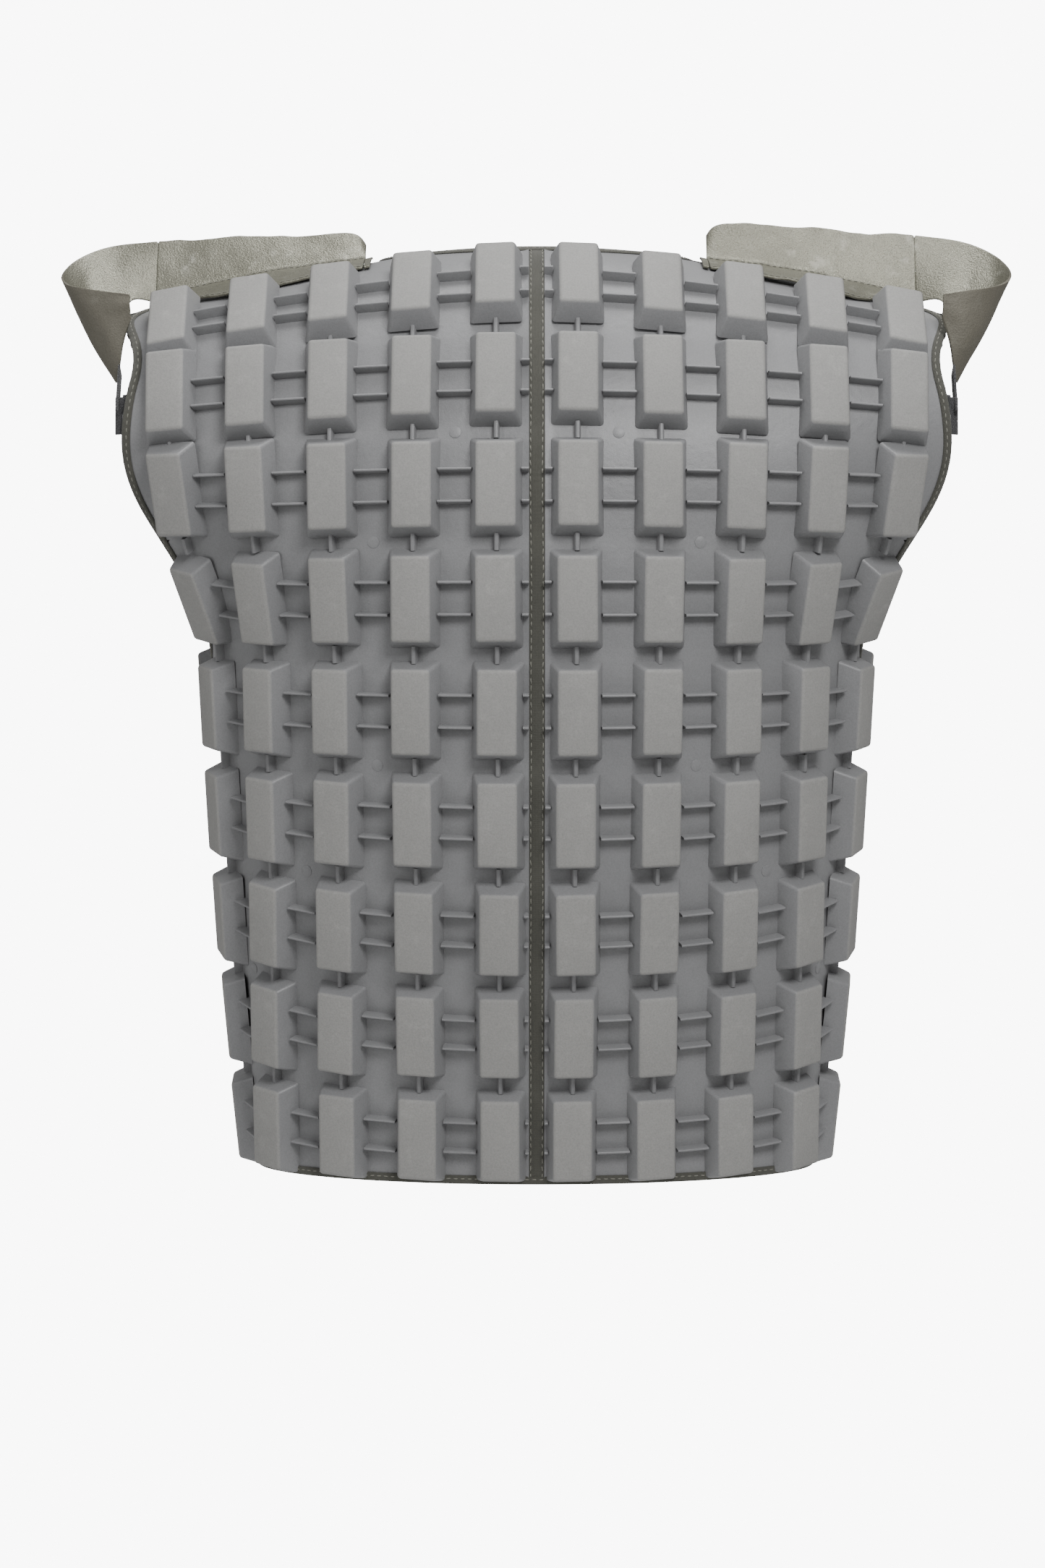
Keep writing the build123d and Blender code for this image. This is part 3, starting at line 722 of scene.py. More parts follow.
def tread_panel(face, side):
    """Rubber sheet of a half face with its blocks, ribs and mould marks."""
    sign = SIDES[side]
    grid, keep = panel_grid(face)
    grid = grid * np.array([sign, 1, 1])
    if (sign > 0) != (face == "back"):
        grid, keep = grid[:, ::-1], keep[:, ::-1]
    sheet = sheet_grid(f"{face}_tread_{side}_sheet", grid, keep)
    modify(sheet, "SOLIDIFY", thickness=SHEET * MM, offset=-1)
    layer = sheet.data.attributes.new("relief", "FLOAT", "POINT")
    layer.data.foreach_set("value", np.zeros(len(sheet.data.vertices), np.float32))

    more = Gathered()
    places = panel_blocks(face)
    limit = -SEAM_HALF_WIDTH - 0.3 if face == "back" else SEAM_HALF_WIDTH + 0.3
    flip = sign < 0

    def stand(unit, s, t, **how):
        points = unit_at(unit, face, s, t, **how)
        if face == "back":
            points[:, 1] = np.minimum(points[:, 1], limit)
        else:
            points[:, 1] = np.maximum(points[:, 1], limit)
        points[:, 0] *= sign
        faces = [f[::-1] for f in unit[1]] if flip != (face == "front") else unit[1]
        relief = np.clip(unit[0][:, 2] / BLOCK_RELIEF, 0, 1)
        more.take(points, faces, relief)

    inner = STRIP_HALF_WIDTH if face == "back" else FRONT_GAP
    for (column, row), (s, t) in places.items():
        stand(BLOCK, s, t, turn=chance.normal() * 0.35, wander=0.25)
        before = places.get((column - 1, row))
        start = before[0] + BLOCK_WIDTH / 2 - 1 if before else inner
        end = s - BLOCK_WIDTH / 2 + 1
        for offset in (-RIB_OFFSET, RIB_OFFSET):
            stand(RIB, (start + end) / 2, t + offset, size=(end - start, 1, 1), wander=0.1)
        if (column + 1, row) not in places:
            far = reach(face, t) - SEAM_HALF_WIDTH
            stop = s + BLOCK_WIDTH / 2 + 9
            if stop < far + 4:
                for offset in (-RIB_OFFSET, RIB_OFFSET):
                    tip = row_points(face, [stop], t + offset)
                    if in_armhole(tip, BINDING_WIDTH).any():
                        continue
                    stand(RIB, s + BLOCK_WIDTH / 2 + 4, t + offset, size=(10, 1, 1))
        below = places.get((column, row - 1))
        if below:
            gap = t - below[1] - BLOCK_LENGTH + 3
            stand(RIB, (s + below[0]) / 2, (t + below[1]) / 2, size=(gap, 1.6, 0.8), turn=90)
        if (column, row) in MARKS:
            stand(MARK, s + COLUMN_PITCH / 2, t + ROW_PITCH / 2)
    blocks = more.made(f"{face}_tread_{side}_blocks")
    active(blocks)
    sheet.select_set(True)
    bpy.ops.object.join()
    blocks.name = blocks.data.name = f"{face}_tread_{side}"
    shade(blocks, 42)
    paint(blocks, RUBBER)
    place(blocks, "vest", "tread", f"{face}_panel_{side}")


MARKS = {(1, 5), (1, 3), (3, 1), (0, 6), (2, 2)}
for face in ("back", "front"):
    for side in SIDES:
        tread_panel(face, side)


# --- Bound edges and seams -------------------------------------------------------------
def add_stitch(seam, origin, x, y, z, size):
    """Adds a stitch at the origin, its length along x and standing up z."""
    co = STITCH[0] * np.array(size)
    seam.take(origin + co[:, :1] * x + co[:, 1:2] * y + co[:, 2:3] * z, STITCH[1], 0)


def sewn(seam, name, body, slot):
    """The gathered stitches as one piece."""
    stitches = seam.made(name)
    face_outwards(stitches)
    shade(stitches, 60)
    paint(stitches, THREAD)
    place(stitches, body, slot)


def run_along(points):
    """Length from the first point to each point of a line."""
    return np.concatenate([[0], np.cumsum(np.linalg.norm(np.diff(points, axis=0), axis=1))])


def solve(rising, target, low, high):
    """Argument at which a function, rising from low to high, meets its target."""
    for _ in range(40):
        middle = (low + high) / 2
        if rising(middle) < target:
            low = middle
        else:
            high = middle
    return (low + high) / 2


def at_depth(face, t, y):
    """Length across and height of the section t at the depth y."""
    height, run, xs, ys = section_table(face, t)
    s = float(np.interp(-abs(y), -abs(ys), run))
    x = float(np.interp(s, run, xs))
    return s, height - float(shoulder_fall(x, height))


def from_side(face, y, z):
    """Lengths across and up of the point seen from the side at y and z."""
    lengths, depths, _ = PROFILES[face]
    deep = lengths[abs(depths) >= abs(y) + 0.5]
    t = solve(lambda v: at_depth(face, v, y)[1], z, 0.0, float(deep.max()))
    return at_depth(face, t, y)[0], t


def from_front(face, x, z):
    """Lengths across and up of the point seen from the front at x and z."""
    t = solve(lambda v: float(np.interp(v, PROFILES[face][0], PROFILES[face][2]))
              - float(shoulder_fall(x, np.interp(v, PROFILES[face][0], PROFILES[face][2]))),
              z, 0.0, LENGTHS[face])
    _, run, xs, _ = section_table(face, t)
    return float(np.interp(abs(x), xs[:-1], run[:-1])) * (1 if x >= 0 else -1), t


def from_above(face, x, y):
    """Lengths across and up of the point near the shoulder seen from above at x and y."""
    def depth(t):
        _, run, xs, ys = section_table(face, t)
        return float(np.interp(abs(x), xs[:-1], ys[:-1]))
    t = solve(depth, y, LENGTHS[face] * 0.75, LENGTHS[face])
    _, run, xs, _ = section_table(face, t)
    return float(np.interp(abs(x), xs[:-1], run[:-1])) * (1 if x >= 0 else -1), t


def edge_rows(places):
    """Points, normals and inward directions along an edge, from places on the faces."""
    rows = [frame_at(face, s, t)[:2] for face, s, t in places]
    points = np.array([r[0] for r in rows])
    normals = np.array([r[1] for r in rows])
    for _ in range(3):
        normals = (np.roll(normals, 1, 0) + normals * 2 + np.roll(normals, -1, 0)) / 4
    normals /= np.linalg.norm(normals, axis=1, keepdims=True)
    along = np.roll(points, -1, 0) - np.roll(points, 1, 0)
    along /= np.linalg.norm(along, axis=1, keepdims=True)
    inward = np.cross(normals, along)
    return points, normals, along, inward


def evenly(points, pitch):
    """Positions along a closed line, every pitch, as indices with a fraction."""
    run = run_along(np.vstack([points, points[:1]]))
    count = int(run[-1] / pitch)
    wanted = (np.arange(count) + 0.5) * run[-1] / count
    return np.interp(wanted, run, np.arange(len(run)))


def at_index(values, index):
    """Value between two neighbours of a closed row."""
    low = int(index) % len(values)
    high = (low + 1) % len(values)
    share = index - int(index)
    return values[low] * (1 - share) + values[high] * share


FOLD = [(BINDING_WIDTH, 0.15), (5.6, 0.75), (4.6, 1.0), (2.4, 1.05), (0.5, 1.15), (-0.35, 0.55),
        (-0.7, -0.8), (-0.7, -2.4), (-0.3, -3.6), (0.6, -4.1), (2.6, -4.05), (4.8, -4.0),
        (BINDING_WIDTH, -3.3), (5.2, -2.4), (4.2, -1.5), (5.2, -0.7)]


def bound_edge(name, places, toward, node, width=1.0, stitch=4.6):
    """Folded tape round an opening's edge, with a row of stitches."""
    points, normals, along, inward = edge_rows(places)
    if np.mean(np.sum((points - np.array(toward)) * inward, axis=1)) < 0:
        inward = -inward
    ring = []
    wave = np.array([noise.noise(Vector(p * 0.035)) * 0.5 for p in points])
    for across, up in FOLD:
        lift = np.where(across > 3, wave * 0.5, wave * 0.25)[:, None] if across > 0 else 0
        ring.append(points + inward * across * width + normals * (up + 0.25) + normals * lift)
    grid = np.array(ring).transpose(1, 0, 2)
    grid = np.concatenate([grid, grid[:, :1]], axis=1)
    grid = np.concatenate([grid, grid[:1]], axis=0)
    tape = sheet_grid(name, grid)
    active(tape)
    bpy.ops.object.mode_set(mode="EDIT")
    bpy.ops.mesh.select_all(action="SELECT")
    bpy.ops.mesh.remove_doubles(threshold=1e-6)
    bpy.ops.mesh.normals_make_consistent(inside=False)
    bpy.ops.object.mode_set(mode="OBJECT")
    shade(tape, 50)
    paint(tape, TAPE)
    place(tape, "vest", "tape", node)
    seam = Gathered()
    for index in evenly(points, stitch):
        base, n = at_index(points, index), at_index(normals, index)
        a, w = at_index(along, index), at_index(inward, index)
        origin = base + w * 3.6 * width + n * (1.25 + at_index(wave, index) * 0.4)
        x = a + w * chance.normal() * 0.05
        size = STITCH_LENGTH + chance.normal() * 0.15
        add_stitch(seam, origin, x, w, n, (size, 1, 1))
    sewn(seam, name + "_stitches", "vest", "tape")


def armhole_places(sign):
    """Places on the faces along an armhole, once round."""
    places = []
    for y, z in ARM_LOOP[::2]:
        face = "back" if y < 0 else "front"
        s, t = from_side(face, y, z)
        places.append((face, sign * s, t))
    return places


def neck_places():
    """Places on the faces along the neck, behind and then in front."""
    places = []
    for a in np.linspace(0, math.pi, 56, endpoint=False):
        x, y = NECK_HALF_WIDTH * math.cos(a), -NECK_BACK_DEPTH * math.sin(a)
        places.append(("back", *from_above("back", x, min(y, -0.3))))
    for a in np.linspace(0, math.pi, 64, endpoint=False):
        x, z = -NECK_HALF_WIDTH * math.cos(a), RIDGE_HEIGHT - NECK_FRONT_DROP * math.sin(a)
        top = float(shoulder_fall(x, RIDGE_HEIGHT)) + 0.3
        places.append(("front", *from_front("front", x, min(z, RIDGE_HEIGHT - top))))
    return places


def hem_places():
    """Places on the faces along the hem."""
    places = []
    for face, direction in (("back", 1), ("front", -1)):
        far = reach(face, 0.0)
        for share in np.linspace(-1, 1, 110, endpoint=False):
            places.append((face, direction * share * far, 0.6))
    return places


for side, sign in SIDES.items():
    bound_edge(f"armhole_tape_{side}", armhole_places(sign), (sign * 230, -20, 460),
               f"armhole_binding_{side}", width=0.92)
bound_edge("neck_tape", neck_places(), (0, -10, 600), "neck_binding", width=1.1)
bound_edge("hem_tape", hem_places(), (0, 0, -400), "hem_binding", width=0.9)


def laid_tape(name, centre, node, half_width, lift, rows_of_stitches, wavy=0.0):
    """Flat tape along a line of (point, normal, across, up), with its rows of stitches."""
    points, normals, acrosses, ups = (np.array(v) for v in zip(*centre))
    run = run_along(points)
    sway = np.array([noise.noise(Vector((r * 0.012, 3.1, 0))) for r in run]) * wavy
    puff = np.array([noise.noise(Vector((r * 0.06, 9.7, 0))) for r in run]) * 0.35
    columns = np.linspace(-1, 1, 9)
    grid = []
    for c in columns:
        dome = 0.55 * (1 - c ** 4) - 0.25 * np.exp(-((abs(c) - 0.72) / 0.12) ** 2)
        offset = acrosses * (c * half_width + sway)[:, None]
        grid.append(points + offset + normals * (lift + dome + puff * (1 - c * c))[:, None])
    tape = sheet_grid(name, np.array(grid).transpose(1, 0, 2))
    modify(tape, "SOLIDIFY", thickness=1.4 * MM, offset=-1)
    face_outwards(tape)
    shade(tape, 50)
    paint(tape, TAPE)
    place(tape, "vest", "tape", node)
    seam = Gathered()
    count = int(run[-1] / STITCH_PITCH)
    for shift in rows_of_stitches:
        for k in range(count):
            where = (k + 0.5 + chance.normal() * 0.04) * run[-1] / count
            values = [np.array([np.interp(where, run, v[:, i]) for i in range(3)])
                      for v in (points, normals, acrosses, ups)]
            point, n, a, u = values
            slant = u + a * chance.normal() * 0.06
            aside = shift * half_width + np.interp(where, run, sway)
            origin = point + a * aside + n * (lift + 0.42 + np.interp(where, run, puff) * 0.4)
            size = STITCH_LENGTH + 0.1 + chance.normal() * 0.2
            add_stitch(seam, origin, slant, a, n, (size, 1, 1))
    sewn(seam, name + "_stitches", "vest", "tape")


nape = from_above("back", 0.0, -NECK_BACK_DEPTH - 3)[1]
laid_tape("centre_back_tape", [frame_at("back", 0.0, t) for t in np.arange(3.5, nape, 4.0)],
          "centre_back_strip", STRIP_HALF_WIDTH + 0.2, 0.1, (-0.72, 0.72), wavy=0.7)


def seam_line(side, low, high, step=4.0):
    """Frames up a side seam, on the plane between the faces."""
    sign = SIDES[side]
    rows = []
    for z in np.arange(low, high, step):
        x = sign * half_width(z)
        rows.append((np.array([x, 0.0, z - float(shoulder_fall(x, z))]),
                     np.array([sign, 0.0, 0.0]), np.array([0.0, 1.0, 0.0]),
                     np.array([0.0, 0.0, 1.0])))
    return rows


def shoulder_line(side):
    """Frames out along a shoulder seam."""
    sign = SIDES[side]
    rows = []
    for x in np.arange(NECK_HALF_WIDTH + 4, 250, 4.0):
        z = RIDGE_HEIGHT - float(shoulder_fall(x, RIDGE_HEIGHT))
        slope = -SHOULDER_SLOPE * x / math.hypot(x, NECK_FLAT)
        up = np.array([sign, 0.0, slope])
        up /= np.linalg.norm(up)
        normal = np.array([-sign * slope, 0.0, 1.0])
        rows.append((np.array([sign * x, 0.0, z]), normal / np.linalg.norm(normal),
                     np.array([0.0, 1.0, 0.0]), up))
    return rows


for side in SIDES:
    laid_tape(f"side_tape_{side}", seam_line(side, 3.5, UNDERARM_HEIGHT - 1),
              f"side_seam_tape_{side}", SEAM_HALF_WIDTH + 0.4, 0.1, (-0.7, 0.7))
    laid_tape(f"shoulder_tape_{side}", shoulder_line(side),
              f"shoulder_seam_tape_{side}", SEAM_HALF_WIDTH + 0.4, -0.2, (-0.7, 0.7))


# --- Shoulder caps ---------------------------------------------------------------------
CAP_SHEET = 1.5
CAP_NECK_X, CAP_ARM_X = 112.0, 250.0
CAP_FLOOR_BACK, CAP_FLOOR_FRONT = 73.0, 24.0
CAP_HOVER, CAP_HOVER_NECK = 6.0, 2.0
CAP_RIM_BACK, CAP_RIM_NECK, CAP_RIM_ARM = 12.0, 618.0, 613.0
CAP_TIP_RIM = [(250, 12, 613), (282, 13, 609), (302, 27, 599), (308, 48, 588),
               (301, 70, 579), (282, 85, 574), (260, 91, 571)]
CAP_TIP_FOOT = [(250, 24, 571), (263, 30, 573), (270, 44, 556), (270, 64, 531),
                (269, 82, 516), (267, 88, 523), (264, 91, 540), (259, 92, 556)]
CAP_STITCH, CAP_STITCH_LIFT = (2.8, 0.8, 0.8), 0.35
# How each cap has been bent in use: rim height at its neck end and over the arm, and
# the waves and lift of its free edge.
CAP_WEAR = {"left": dict(neck=0.0, tip=-1.0, waves=0.9, flare=2.5, seed=2.3),
            "right": dict(neck=7.0, tip=3.0, waves=2.4, flare=4.5, seed=8.1)}


def shoulder_height(x, y):
    """Height of the back's outer face near the shoulder, seen from above at x and y."""
    t = from_above("back", x, y)[1]
    height = float(np.interp(t, PROFILES["back"][0], PROFILES["back"][2]))
    return height - float(shoulder_fall(x, height))


def cap_floor(x, share):
    """Point on the cap's floor, from its free edge to the fold under the standing wall."""
    back = CAP_FLOOR_BACK - 15.0 * float(smooth((x - 196) / 40))
    y = -back + (back - CAP_FLOOR_FRONT) * share
    along = max(x - CAP_NECK_X, 0) / (CAP_ARM_X - CAP_NECK_X)
    hover = CAP_HOVER_NECK + (CAP_HOVER - CAP_HOVER_NECK) * float(smooth(along * 2))
    hover = 1.3 + (hover - 1.3) * float(smooth(share * 1.5))
    return np.array([x, y, shoulder_height(x, y) + hover + CAP_SHEET])


def crumple(point, size, height, seed):
    """Uneven height whose waves are about size across."""
    return height * noise.noise(Vector(point) / size + Vector((seed, seed * 2, 0)))


def cap_ledge(side):
    """Rows of points of the cap's floor and its standing wall."""
    wear = CAP_WEAR[side]
    rows = []
    for x in np.linspace(CAP_NECK_X, CAP_ARM_X, 60):
        along = (x - CAP_NECK_X) / (CAP_ARM_X - CAP_NECK_X)
        rim = np.array([x, -CAP_RIM_BACK, CAP_RIM_NECK + (CAP_RIM_ARM - CAP_RIM_NECK) * along])
        rim[2] += wear["neck"] * (1 - along) + wear["tip"] * along
        rim[2] += crumple((x, 0, 5), 34.0, 2.6, wear["seed"]) * min((1 - along) * 5, 1)
        rim[2] -= 9.0 * math.exp(-along / 0.03)
        fold = cap_floor(x, 1.0)
        corner = fold * 0.86 + rim * 0.14
        base = [cap_floor(x, v) for v in np.linspace(0, 0.84, 15)]
        bend = [base[-1] * (1 - u) ** 2 + fold * 2 * u * (1 - u) + corner * u * u
                for u in np.linspace(0, 1, 7)[1:]]
        wall = [corner + (rim - corner) * u for u in np.linspace(0, 1, 14)[1:]]
        row = np.array(base + bend + wall)
        for k, point in enumerate(row):
            free = max(1 - k / 9.0, 0) ** 1.5
            up = max((k - 20) / 13.0, 0)
            lift = free * (wear["flare"] * 0.4
                           + crumple((x, 0, 0), 17.0, wear["waves"] * 2.2, wear["seed"]))
            lift = max(lift, -0.8)
            fine = crumple(point, 11.0, 1.3, wear["seed"]) + crumple(point, 30.0, 1.6, 1.7)
            held = min(along * 8, 1)
            point[2] += (lift + abs(fine) * 0.6) * held
            point[1] -= (crumple(point, 22.0, 2.2, wear["seed"] + 4) * up
                         + free * crumple((x, 9, 0), 26.0, 1.6, wear["seed"])) * held
        rows.append(row)
    return np.array(rows)


def cap_pocket(side):
    """Rows of points of the pocket outside the armhole, from the rim down to the foot."""
    wear = CAP_WEAR[side]
    rim = through([(x, -y, z) for x, y, z in CAP_TIP_RIM], samples=70)[1]
    foot = through([(x, -y, z) for x, y, z in CAP_TIP_FOOT], samples=70)[1]
    rows = []
    for k, (top, bottom) in enumerate(zip(rim, foot)):
        share = k / 69
        top = top.copy()
        top[2] += wear["tip"] * (1 - share)
        row = []
        for down in np.linspace(0, 1, 26):
            point = top + (bottom - top) * down
            out = np.array([point[0] - 245, point[1] + 52, 0.0])
            out /= max(np.linalg.norm(out), 1e-6)
            belly = math.sin(math.pi * down) * 2.2 * math.sin(math.pi * min(share, 0.97))
            fold = crumple((share * 90, down * 30, 0), 13.0, 2.6, wear["seed"] + 7)
            fold *= min(share * 6, 1)
            row.append(point + out * (belly + fold * math.sin(math.pi * down) ** 0.6))
        rows.append(row)
    return np.array(rows)


def leather(name, rows, sign, flip):
    """Leatherette sheet on rows of points."""
    grid = rows * np.array([sign, 1, 1])
    if flip != (sign < 0):
        grid = grid[:, ::-1]
    sheet = sheet_grid(name, grid)
    modify(sheet, "SUBSURF", levels=1, render_levels=1)
    modify(sheet, "SOLIDIFY", thickness=CAP_SHEET * MM, offset=-1)
    modify(sheet, "BEVEL", width=0.35 * MM, segments=2, limit_method="ANGLE",
           angle_limit=math.radians(50))
    shade(sheet, 48)
    return sheet


def cap_pieces(side):
    """The cap's ledge with its wall, the pocket outside the armhole, and their stitches."""
    sign, body = SIDES[side], f"cap_{side}"
    ledge = leather(f"cap_shell_{side}", cap_ledge(side), sign, True)
    pocket = leather(f"cap_pocket_{side}", cap_pocket(side), sign, False)
    for obj, reverse in ((ledge, 0.0), (pocket, 1.0)):
        layer = obj.data.attributes.new("reverse", "FLOAT", "POINT")
        values = np.full(len(obj.data.vertices), reverse, np.float32)
        if reverse:
            co, _ = mesh_arrays(obj)
            normals = np.zeros(len(obj.data.vertices) * 3)
            obj.data.vertices.foreach_get("normal", normals)
            normals = normals.reshape(-1, 3)
            out = co - np.array([sign * 0.245, -0.052, 0.55])
            out[:, 2] = 0
            facing = np.sum(out * normals, axis=1) / np.linalg.norm(out, axis=1)
            values = np.clip(facing * 3 + 0.5, 0, 1).astype(np.float32)
        layer.data.foreach_set("value", values)
        paint(obj, SILVER)
    place(ledge, body, "silver", f"shoulder_cap_{side}")
    place(pocket, body, "silver")
    # One row of stitches along the free edge, and one along the fold below the wall.
    rows = cap_ledge(side) * np.array([sign, 1, 1])
    seam = Gathered()
    for column in (1, 17):
        line = rows[:, column]
        run = run_along(line)
        for where in np.arange(3, run[-1] - 2, 4.2):
            point = np.array([np.interp(where, run, line[:, i]) for i in range(3)])
            ahead = np.array([np.interp(where + 1, run, line[:, i]) for i in range(3)])
            k = min(int(np.searchsorted(run, where)), len(rows) - 1)
            x = (ahead - point) / max(np.linalg.norm(ahead - point), 1e-6)
            aside = rows[k, column + 1] - rows[k, column - 1]
            normal = np.cross(x, aside) * (1 if sign > 0 else -1)
            normal /= np.linalg.norm(normal)
            if normal[2] < 0:
                normal = -normal
            add_stitch(seam, point + normal * CAP_STITCH_LIFT, x, np.cross(normal, x), normal,
                       CAP_STITCH)
    sewn(seam, f"cap_stitches_{side}", body, "silver")


def soft_box(name, low, high, sign, bevel, cuts, axes=None):
    """Strip of cloth between two corners, in millimetres, with softened edges; axes are
    its origin and directions where it doesn't stand square."""
    deselect()
    bpy.ops.mesh.primitive_cube_add(size=1)
    obj = bpy.context.object
    obj.name = obj.data.name = name
    mesh = bmesh.new()
    mesh.from_mesh(obj.data)
    for axis, cut in enumerate(cuts):
        edges = [e for e in mesh.edges
                 if abs((e.verts[0].co - e.verts[1].co)[axis]) > 0.9]
        if cut > 1:
            bmesh.ops.subdivide_edges(mesh, edges=edges, cuts=cut - 1, use_grid_fill=True)
    low, high = np.array(low, float), np.array(high, float)
    for v in mesh.verts:
        p = (low + high) / 2 + np.array(v.co) * (high - low)
        if axes is not None:
            origin, x, y, z = axes
            p = origin + p[0] * x + p[1] * y + p[2] * z
        v.co = Vector((p[0] * sign * MM, p[1] * MM, p[2] * MM))
    mesh.to_mesh(obj.data)
    mesh.free()
    face_outwards(obj)
    modify(obj, "BEVEL", width=bevel * MM, segments=3, limit_method="ANGLE",
           angle_limit=math.radians(50))
    shade(obj, 45)
    return obj


def cap_anchor(side):
    """End of the cap's floor that stays sewn to the vest beside the neck."""
    sign = SIDES[side]
    rows = np.array([[cap_floor(x, v) for v in np.linspace(0, 1, 26)]
                     for x in np.linspace(CAP_NECK_X - 4.5, CAP_NECK_X - 0.5, 6)])
    rows[..., 2] += 0.2
    strip = leather(f"cap_end_{side}", rows, sign, True)
    layer = strip.data.attributes.new("reverse", "FLOAT", "POINT")
    layer.data.foreach_set("value", np.zeros(len(strip.data.vertices), np.float32))
    paint(strip, SILVER)
    place(strip, "vest", "silver", f"cap_anchor_{side}")


TAB_HEIGHT, TAB_MIDDLE, TAB_REACH, HOOK_REACH = 28.0, 503.0, 8.0, 4.5
TAB_THICKNESS, BINDING_PROUD, TAB_CLEARANCE, SOFT_GAP = 1.5, 1.2, 1.6, 0.3
TAB_EDGE, STRAP_HALF_WIDTH = 0.4, 6.0
TAB_FOOT = 5                  # place on the pocket's foot where the loop tab's strap ends


def tab_axes():
    """Origin and axes at the armhole's back edge where the tabs fasten."""
    t = float(np.interp(TAB_MIDDLE, PROFILES["back"][2], PROFILES["back"][0]))
    _, run, _, ys = section_table("back", t)
    edge = min((p for p in ARMHOLE if p[0] <= 0), key=lambda p: abs(p[1] - TAB_MIDDLE))
    s = float(np.interp(edge[0], ys, run))
    origin, normal, across, _ = frame_at("back", s, t)
    return origin, across, np.cross(normal, across), normal


def tabs(side):
    """Hook tab inside the armhole's back edge, and the cap's loop tab with its strap."""
    sign = SIDES[side]
    axes = tab_axes()
    high = -SHEET - BINDING_PROUD - TAB_CLEARANCE
    hook = soft_box(f"hook_tab_{side}", (-TAB_REACH, -TAB_HEIGHT / 2, high - TAB_THICKNESS),
                    (HOOK_REACH, TAB_HEIGHT / 2, high), sign, TAB_EDGE, (6, 10, 1), axes)
    paint(hook, HOOK)
    place(hook, "vest", "hook", f"armhole_tab_{side}")
    low = -SHEET - BINDING_PROUD + SOFT_GAP
    loop = soft_box(f"loop_tab_{side}", (1.0, -TAB_HEIGHT / 2 + 2, low),
                    (TAB_REACH, TAB_HEIGHT / 2 - 2, low + TAB_THICKNESS), sign, TAB_EDGE,
                    (4, 10, 1), axes)
    origin, across, up, normal = axes
    start = origin + across * (TAB_REACH - 1.5) + normal * (low + TAB_THICKNESS)
    foot = np.array(CAP_TIP_FOOT[TAB_FOOT], float) * np.array([1, -1, 1])
    along = (foot - start) / np.linalg.norm(foot - start)
    side_way = np.cross(along, np.array([1.0, 0, 0]))
    side_way /= np.linalg.norm(side_way)
    over = np.cross(along, side_way)
    half = np.linalg.norm(foot - start) / 2
    strap = soft_box(f"loop_strap_{side}", (-half, -STRAP_HALF_WIDTH, -TAB_THICKNESS / 2),
                     (half, STRAP_HALF_WIDTH, TAB_THICKNESS / 2), sign, TAB_EDGE, (6, 3, 1),
                     ((start + foot) / 2, along, side_way, over))
    active(loop)
    strap.select_set(True)
    bpy.ops.object.join()
    face_outwards(loop)
    paint(loop, HOOK)
    place(loop, f"cap_{side}", "hook", f"cap_tab_{side}")


for side in SIDES:
    cap_pieces(side)
    cap_anchor(side)
    tabs(side)


# --- Linings ---------------------------------------------------------------------------
LINING, LINING_GAP, LINING_INSET = 2.5, 3.5, 12.0
UNDERLAP_HALF_WIDTH = 17.0


def lining(name, face, sign, node, whole):
    """Spacer mesh inside the back or one front."""
    margin = BINDING_WIDTH + LINING_INSET
    rows = []
    for t in np.arange(margin, LENGTHS[face] - SEAM_HALF_WIDTH - 2, 5.0):
        far = reach(face, t) - SEAM_HALF_WIDTH - 1
        height, run, xs, _ = section_table(face, t)
        if height > 430:
            far = min(far, float(np.interp(262, xs[:-1], run[:-1])))
        inner = -far if whole else UNDERLAP_HALF_WIDTH + 3
        s = np.linspace(inner, far, 121 if whole else 61)
        row, normal, _, _ = frames(face, s, t)
        rows.append(row - normal * (SHEET + LINING_GAP + 0.2))
    grid = np.array(rows)
    keep = ~(in_armhole(grid, margin) | in_neck(grid, margin))
    grid = grid * np.array([sign, 1, 1])
    if (sign > 0) != (face == "back"):
        grid, keep = grid[:, ::-1], keep[:, ::-1]
    sheet = sheet_grid(name, grid, keep)
    modify(sheet, "SOLIDIFY", thickness=LINING * MM, offset=-1)
    shade(sheet, 50)
    paint(sheet, MESH)
    place(sheet, "vest", "lining", node)


lining("back_mesh", "back", 1, "back_lining", True)
for side, sign in SIDES.items():
    lining(f"front_mesh_{side}", "front", sign, f"front_lining_{side}", False)


# --- Front closure ---------------------------------------------------------------------
def corners(node):
    """Lowest and highest corner of a node's box, in millimetres."""
    low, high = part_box(node)
    return np.array(low) / MM, np.array(high) / MM


def cloth_strip(name, node, body, insets):
    """Upright strip of cloth in a node's place, with a seam at each inset from its sides."""
    low, high = corners(node)
    strip = soft_box(name, low, high, 1, 0.5, (3, 1, 60))
    paint(strip, TAPE)
    place(strip, body, "tape", node)
    if not insets:
        return
    seam = Gathered()
    across, out, up = np.eye(3)
    for inset in insets:
        x = low[0] + inset if inset > 0 else high[0] + inset
        for z in np.arange(low[2] + 4, high[2] - 3, STITCH_PITCH):
            origin = np.array([x, high[1] + 0.25, z])
            add_stitch(seam, origin, up, across, out, (STITCH_LENGTH, 1, 1))
    sewn(seam, name + "_stitches", body, "tape")


cloth_strip("placket_strip", "front_placket", "placket", (2.2, -2.2))
cloth_strip("placket_edge", "placket_anchor", "vest", (1.5,))
cloth_strip("underlap_strip", "front_underlap", "vest", ())


SNAPS = 5


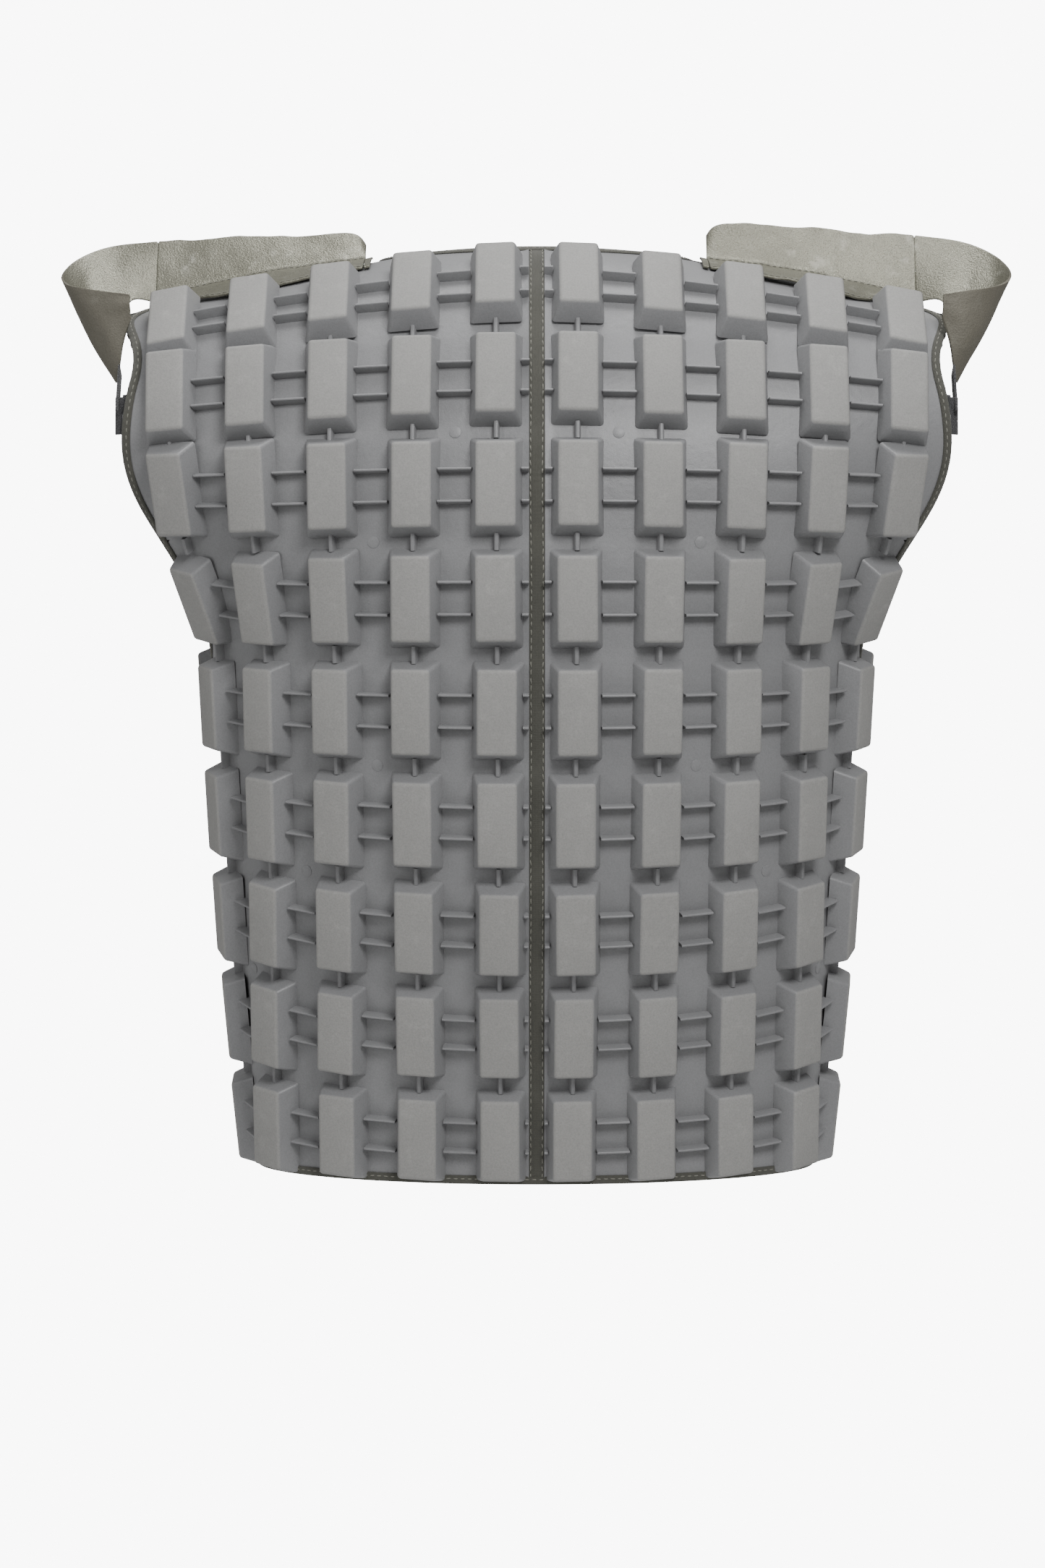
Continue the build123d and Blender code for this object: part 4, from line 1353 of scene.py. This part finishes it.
def snap_parts():
    """Snap heads on the placket and the posts that they close on."""
    low, high = corners("snap_caps")
    stud_low, stud_high = corners("snap_studs")
    radius = (high[0] - low[0]) / 2
    x = (low[0] + high[0]) / 2
    caps, studs = Gathered(), Gathered()
    deselect()
    bpy.ops.mesh.primitive_cylinder_add(vertices=40, radius=radius, depth=high[1] - low[1])
    cap = bpy.context.object
    modify(cap, "BEVEL", width=0.7, segments=3, limit_method="ANGLE")
    mesh = bmesh.new()
    mesh.from_mesh(cap.data)
    top = max(mesh.faces, key=lambda f: f.calc_center_median().z)
    bmesh.ops.inset_region(mesh, faces=[top], thickness=radius * 0.35)
    bmesh.ops.translate(mesh, verts=top.verts, vec=(0, 0, -0.35))
    mesh.to_mesh(cap.data)
    mesh.free()
    disc = unit_from(cap)
    deselect()
    bpy.ops.mesh.primitive_cylinder_add(vertices=24, radius=(stud_high[0] - stud_low[0]) / 2,
                                        depth=stud_high[1] - stud_low[1])
    stud = bpy.context.object
    mesh = bmesh.new()
    mesh.from_mesh(stud.data)
    for v in mesh.verts:
        if v.co.z > 0:
            v.co.x *= 0.42
            v.co.y *= 0.42
    mesh.to_mesh(stud.data)
    mesh.free()
    modify(stud, "BEVEL", width=0.15, segments=2, limit_method="ANGLE")
    post = unit_from(stud)
    for z in np.linspace(low[2] + radius, high[2] - radius, SNAPS):
        for unit, many, y in ((disc, caps, (low[1] + high[1]) / 2),
                              (post, studs, (stud_low[1] + stud_high[1]) / 2)):
            co = unit[0]
            points = np.stack([x + co[:, 0], y + co[:, 2], z - co[:, 1]], axis=1)
            many.take(points, unit[1], 0)
    for name, many, node, body in (("snap_heads", caps, "snap_caps", "placket"),
                                   ("snap_posts", studs, "snap_studs", "vest")):
        obj = many.made(name)
        face_outwards(obj)
        shade(obj, 35)
        paint(obj, METAL)
        place(obj, body, "snap", node)


snap_parts()


# --- Light, floor and camera -----------------------------------------------------------
FLOOR_SIZE, FLOOR_HEIGHT = 2.8, -0.75
AMBIENT, BACKDROP = 0.42, 9.0     # light on the vest, and what the camera sees behind it


def studio():
    world = bpy.data.worlds.new("studio")
    bpy.context.scene.world = world
    world.use_nodes = True
    tree = world.node_tree
    ambient = tree.nodes["Background"]
    ambient.inputs["Color"].default_value = (1, 1, 1, 1)
    ambient.inputs["Strength"].default_value = AMBIENT
    paper = tree.nodes.new("ShaderNodeBackground")
    paper.inputs["Color"].default_value = (1, 1, 1, 1)
    paper.inputs["Strength"].default_value = BACKDROP
    seen = tree.nodes.new("ShaderNodeLightPath")
    mix = tree.nodes.new("ShaderNodeMixShader")
    tree.links.new(seen.outputs["Is Camera Ray"], mix.inputs[0])
    tree.links.new(ambient.outputs[0], mix.inputs[1])
    tree.links.new(paper.outputs[0], mix.inputs[2])
    tree.links.new(mix.outputs[0], tree.nodes["World Output"].inputs["Surface"])
    deselect()
    bpy.ops.mesh.primitive_plane_add(size=FLOOR_SIZE, location=(0, 0, FLOOR_HEIGHT))
    floor = bpy.context.object
    floor.name = "floor"
    pale = Finish("pale_floor", Specular_IOR_Level=0.2)
    cloud = pale.noise(0.8)
    floor.data.materials.append(pale.finish(
        pale.mixed(cloud, (0.90, 0.90, 0.90), (0.93, 0.93, 0.93)), 0.8 + cloud * 0.1))
    active(floor)
    bpy.ops.object.transform_apply(location=True, rotation=False, scale=False)


def lamp(name, place, aim, size, power):
    light = bpy.data.lights.new(name, "AREA")
    light.size, light.energy = size, power
    obj = bpy.data.objects.new(name, light)
    bpy.context.scene.collection.objects.link(obj)
    obj.location = place
    obj.rotation_euler = (Vector(aim) - Vector(place)).to_track_quat("-Z", "Y").to_euler()


CAMERA_AT, CAMERA_DOWN, LENS = (-0.009, -2.35, 0.3955), 3.5, 80.6


def shot():
    camera = bpy.data.cameras.new("camera")
    camera.lens, camera.sensor_width, camera.sensor_fit = LENS, 36, "AUTO"
    obj = bpy.data.objects.new("camera", camera)
    bpy.context.scene.collection.objects.link(obj)
    obj.location = CAMERA_AT
    obj.rotation_euler = (math.radians(90 - CAMERA_DOWN), 0, 0)
    bpy.context.scene.camera = obj


studio()
lamp("key", (0.75, -2.2, 1.9), (0, -0.1, 0.35), 0.9, 58)
lamp("fill", (-1.9, -1.5, 1.0), (0, -0.1, 0.35), 1.3, 12)
lamp("top", (0.1, -0.2, 2.1), (0, -0.1, 0.5), 0.9, 26)
shot()
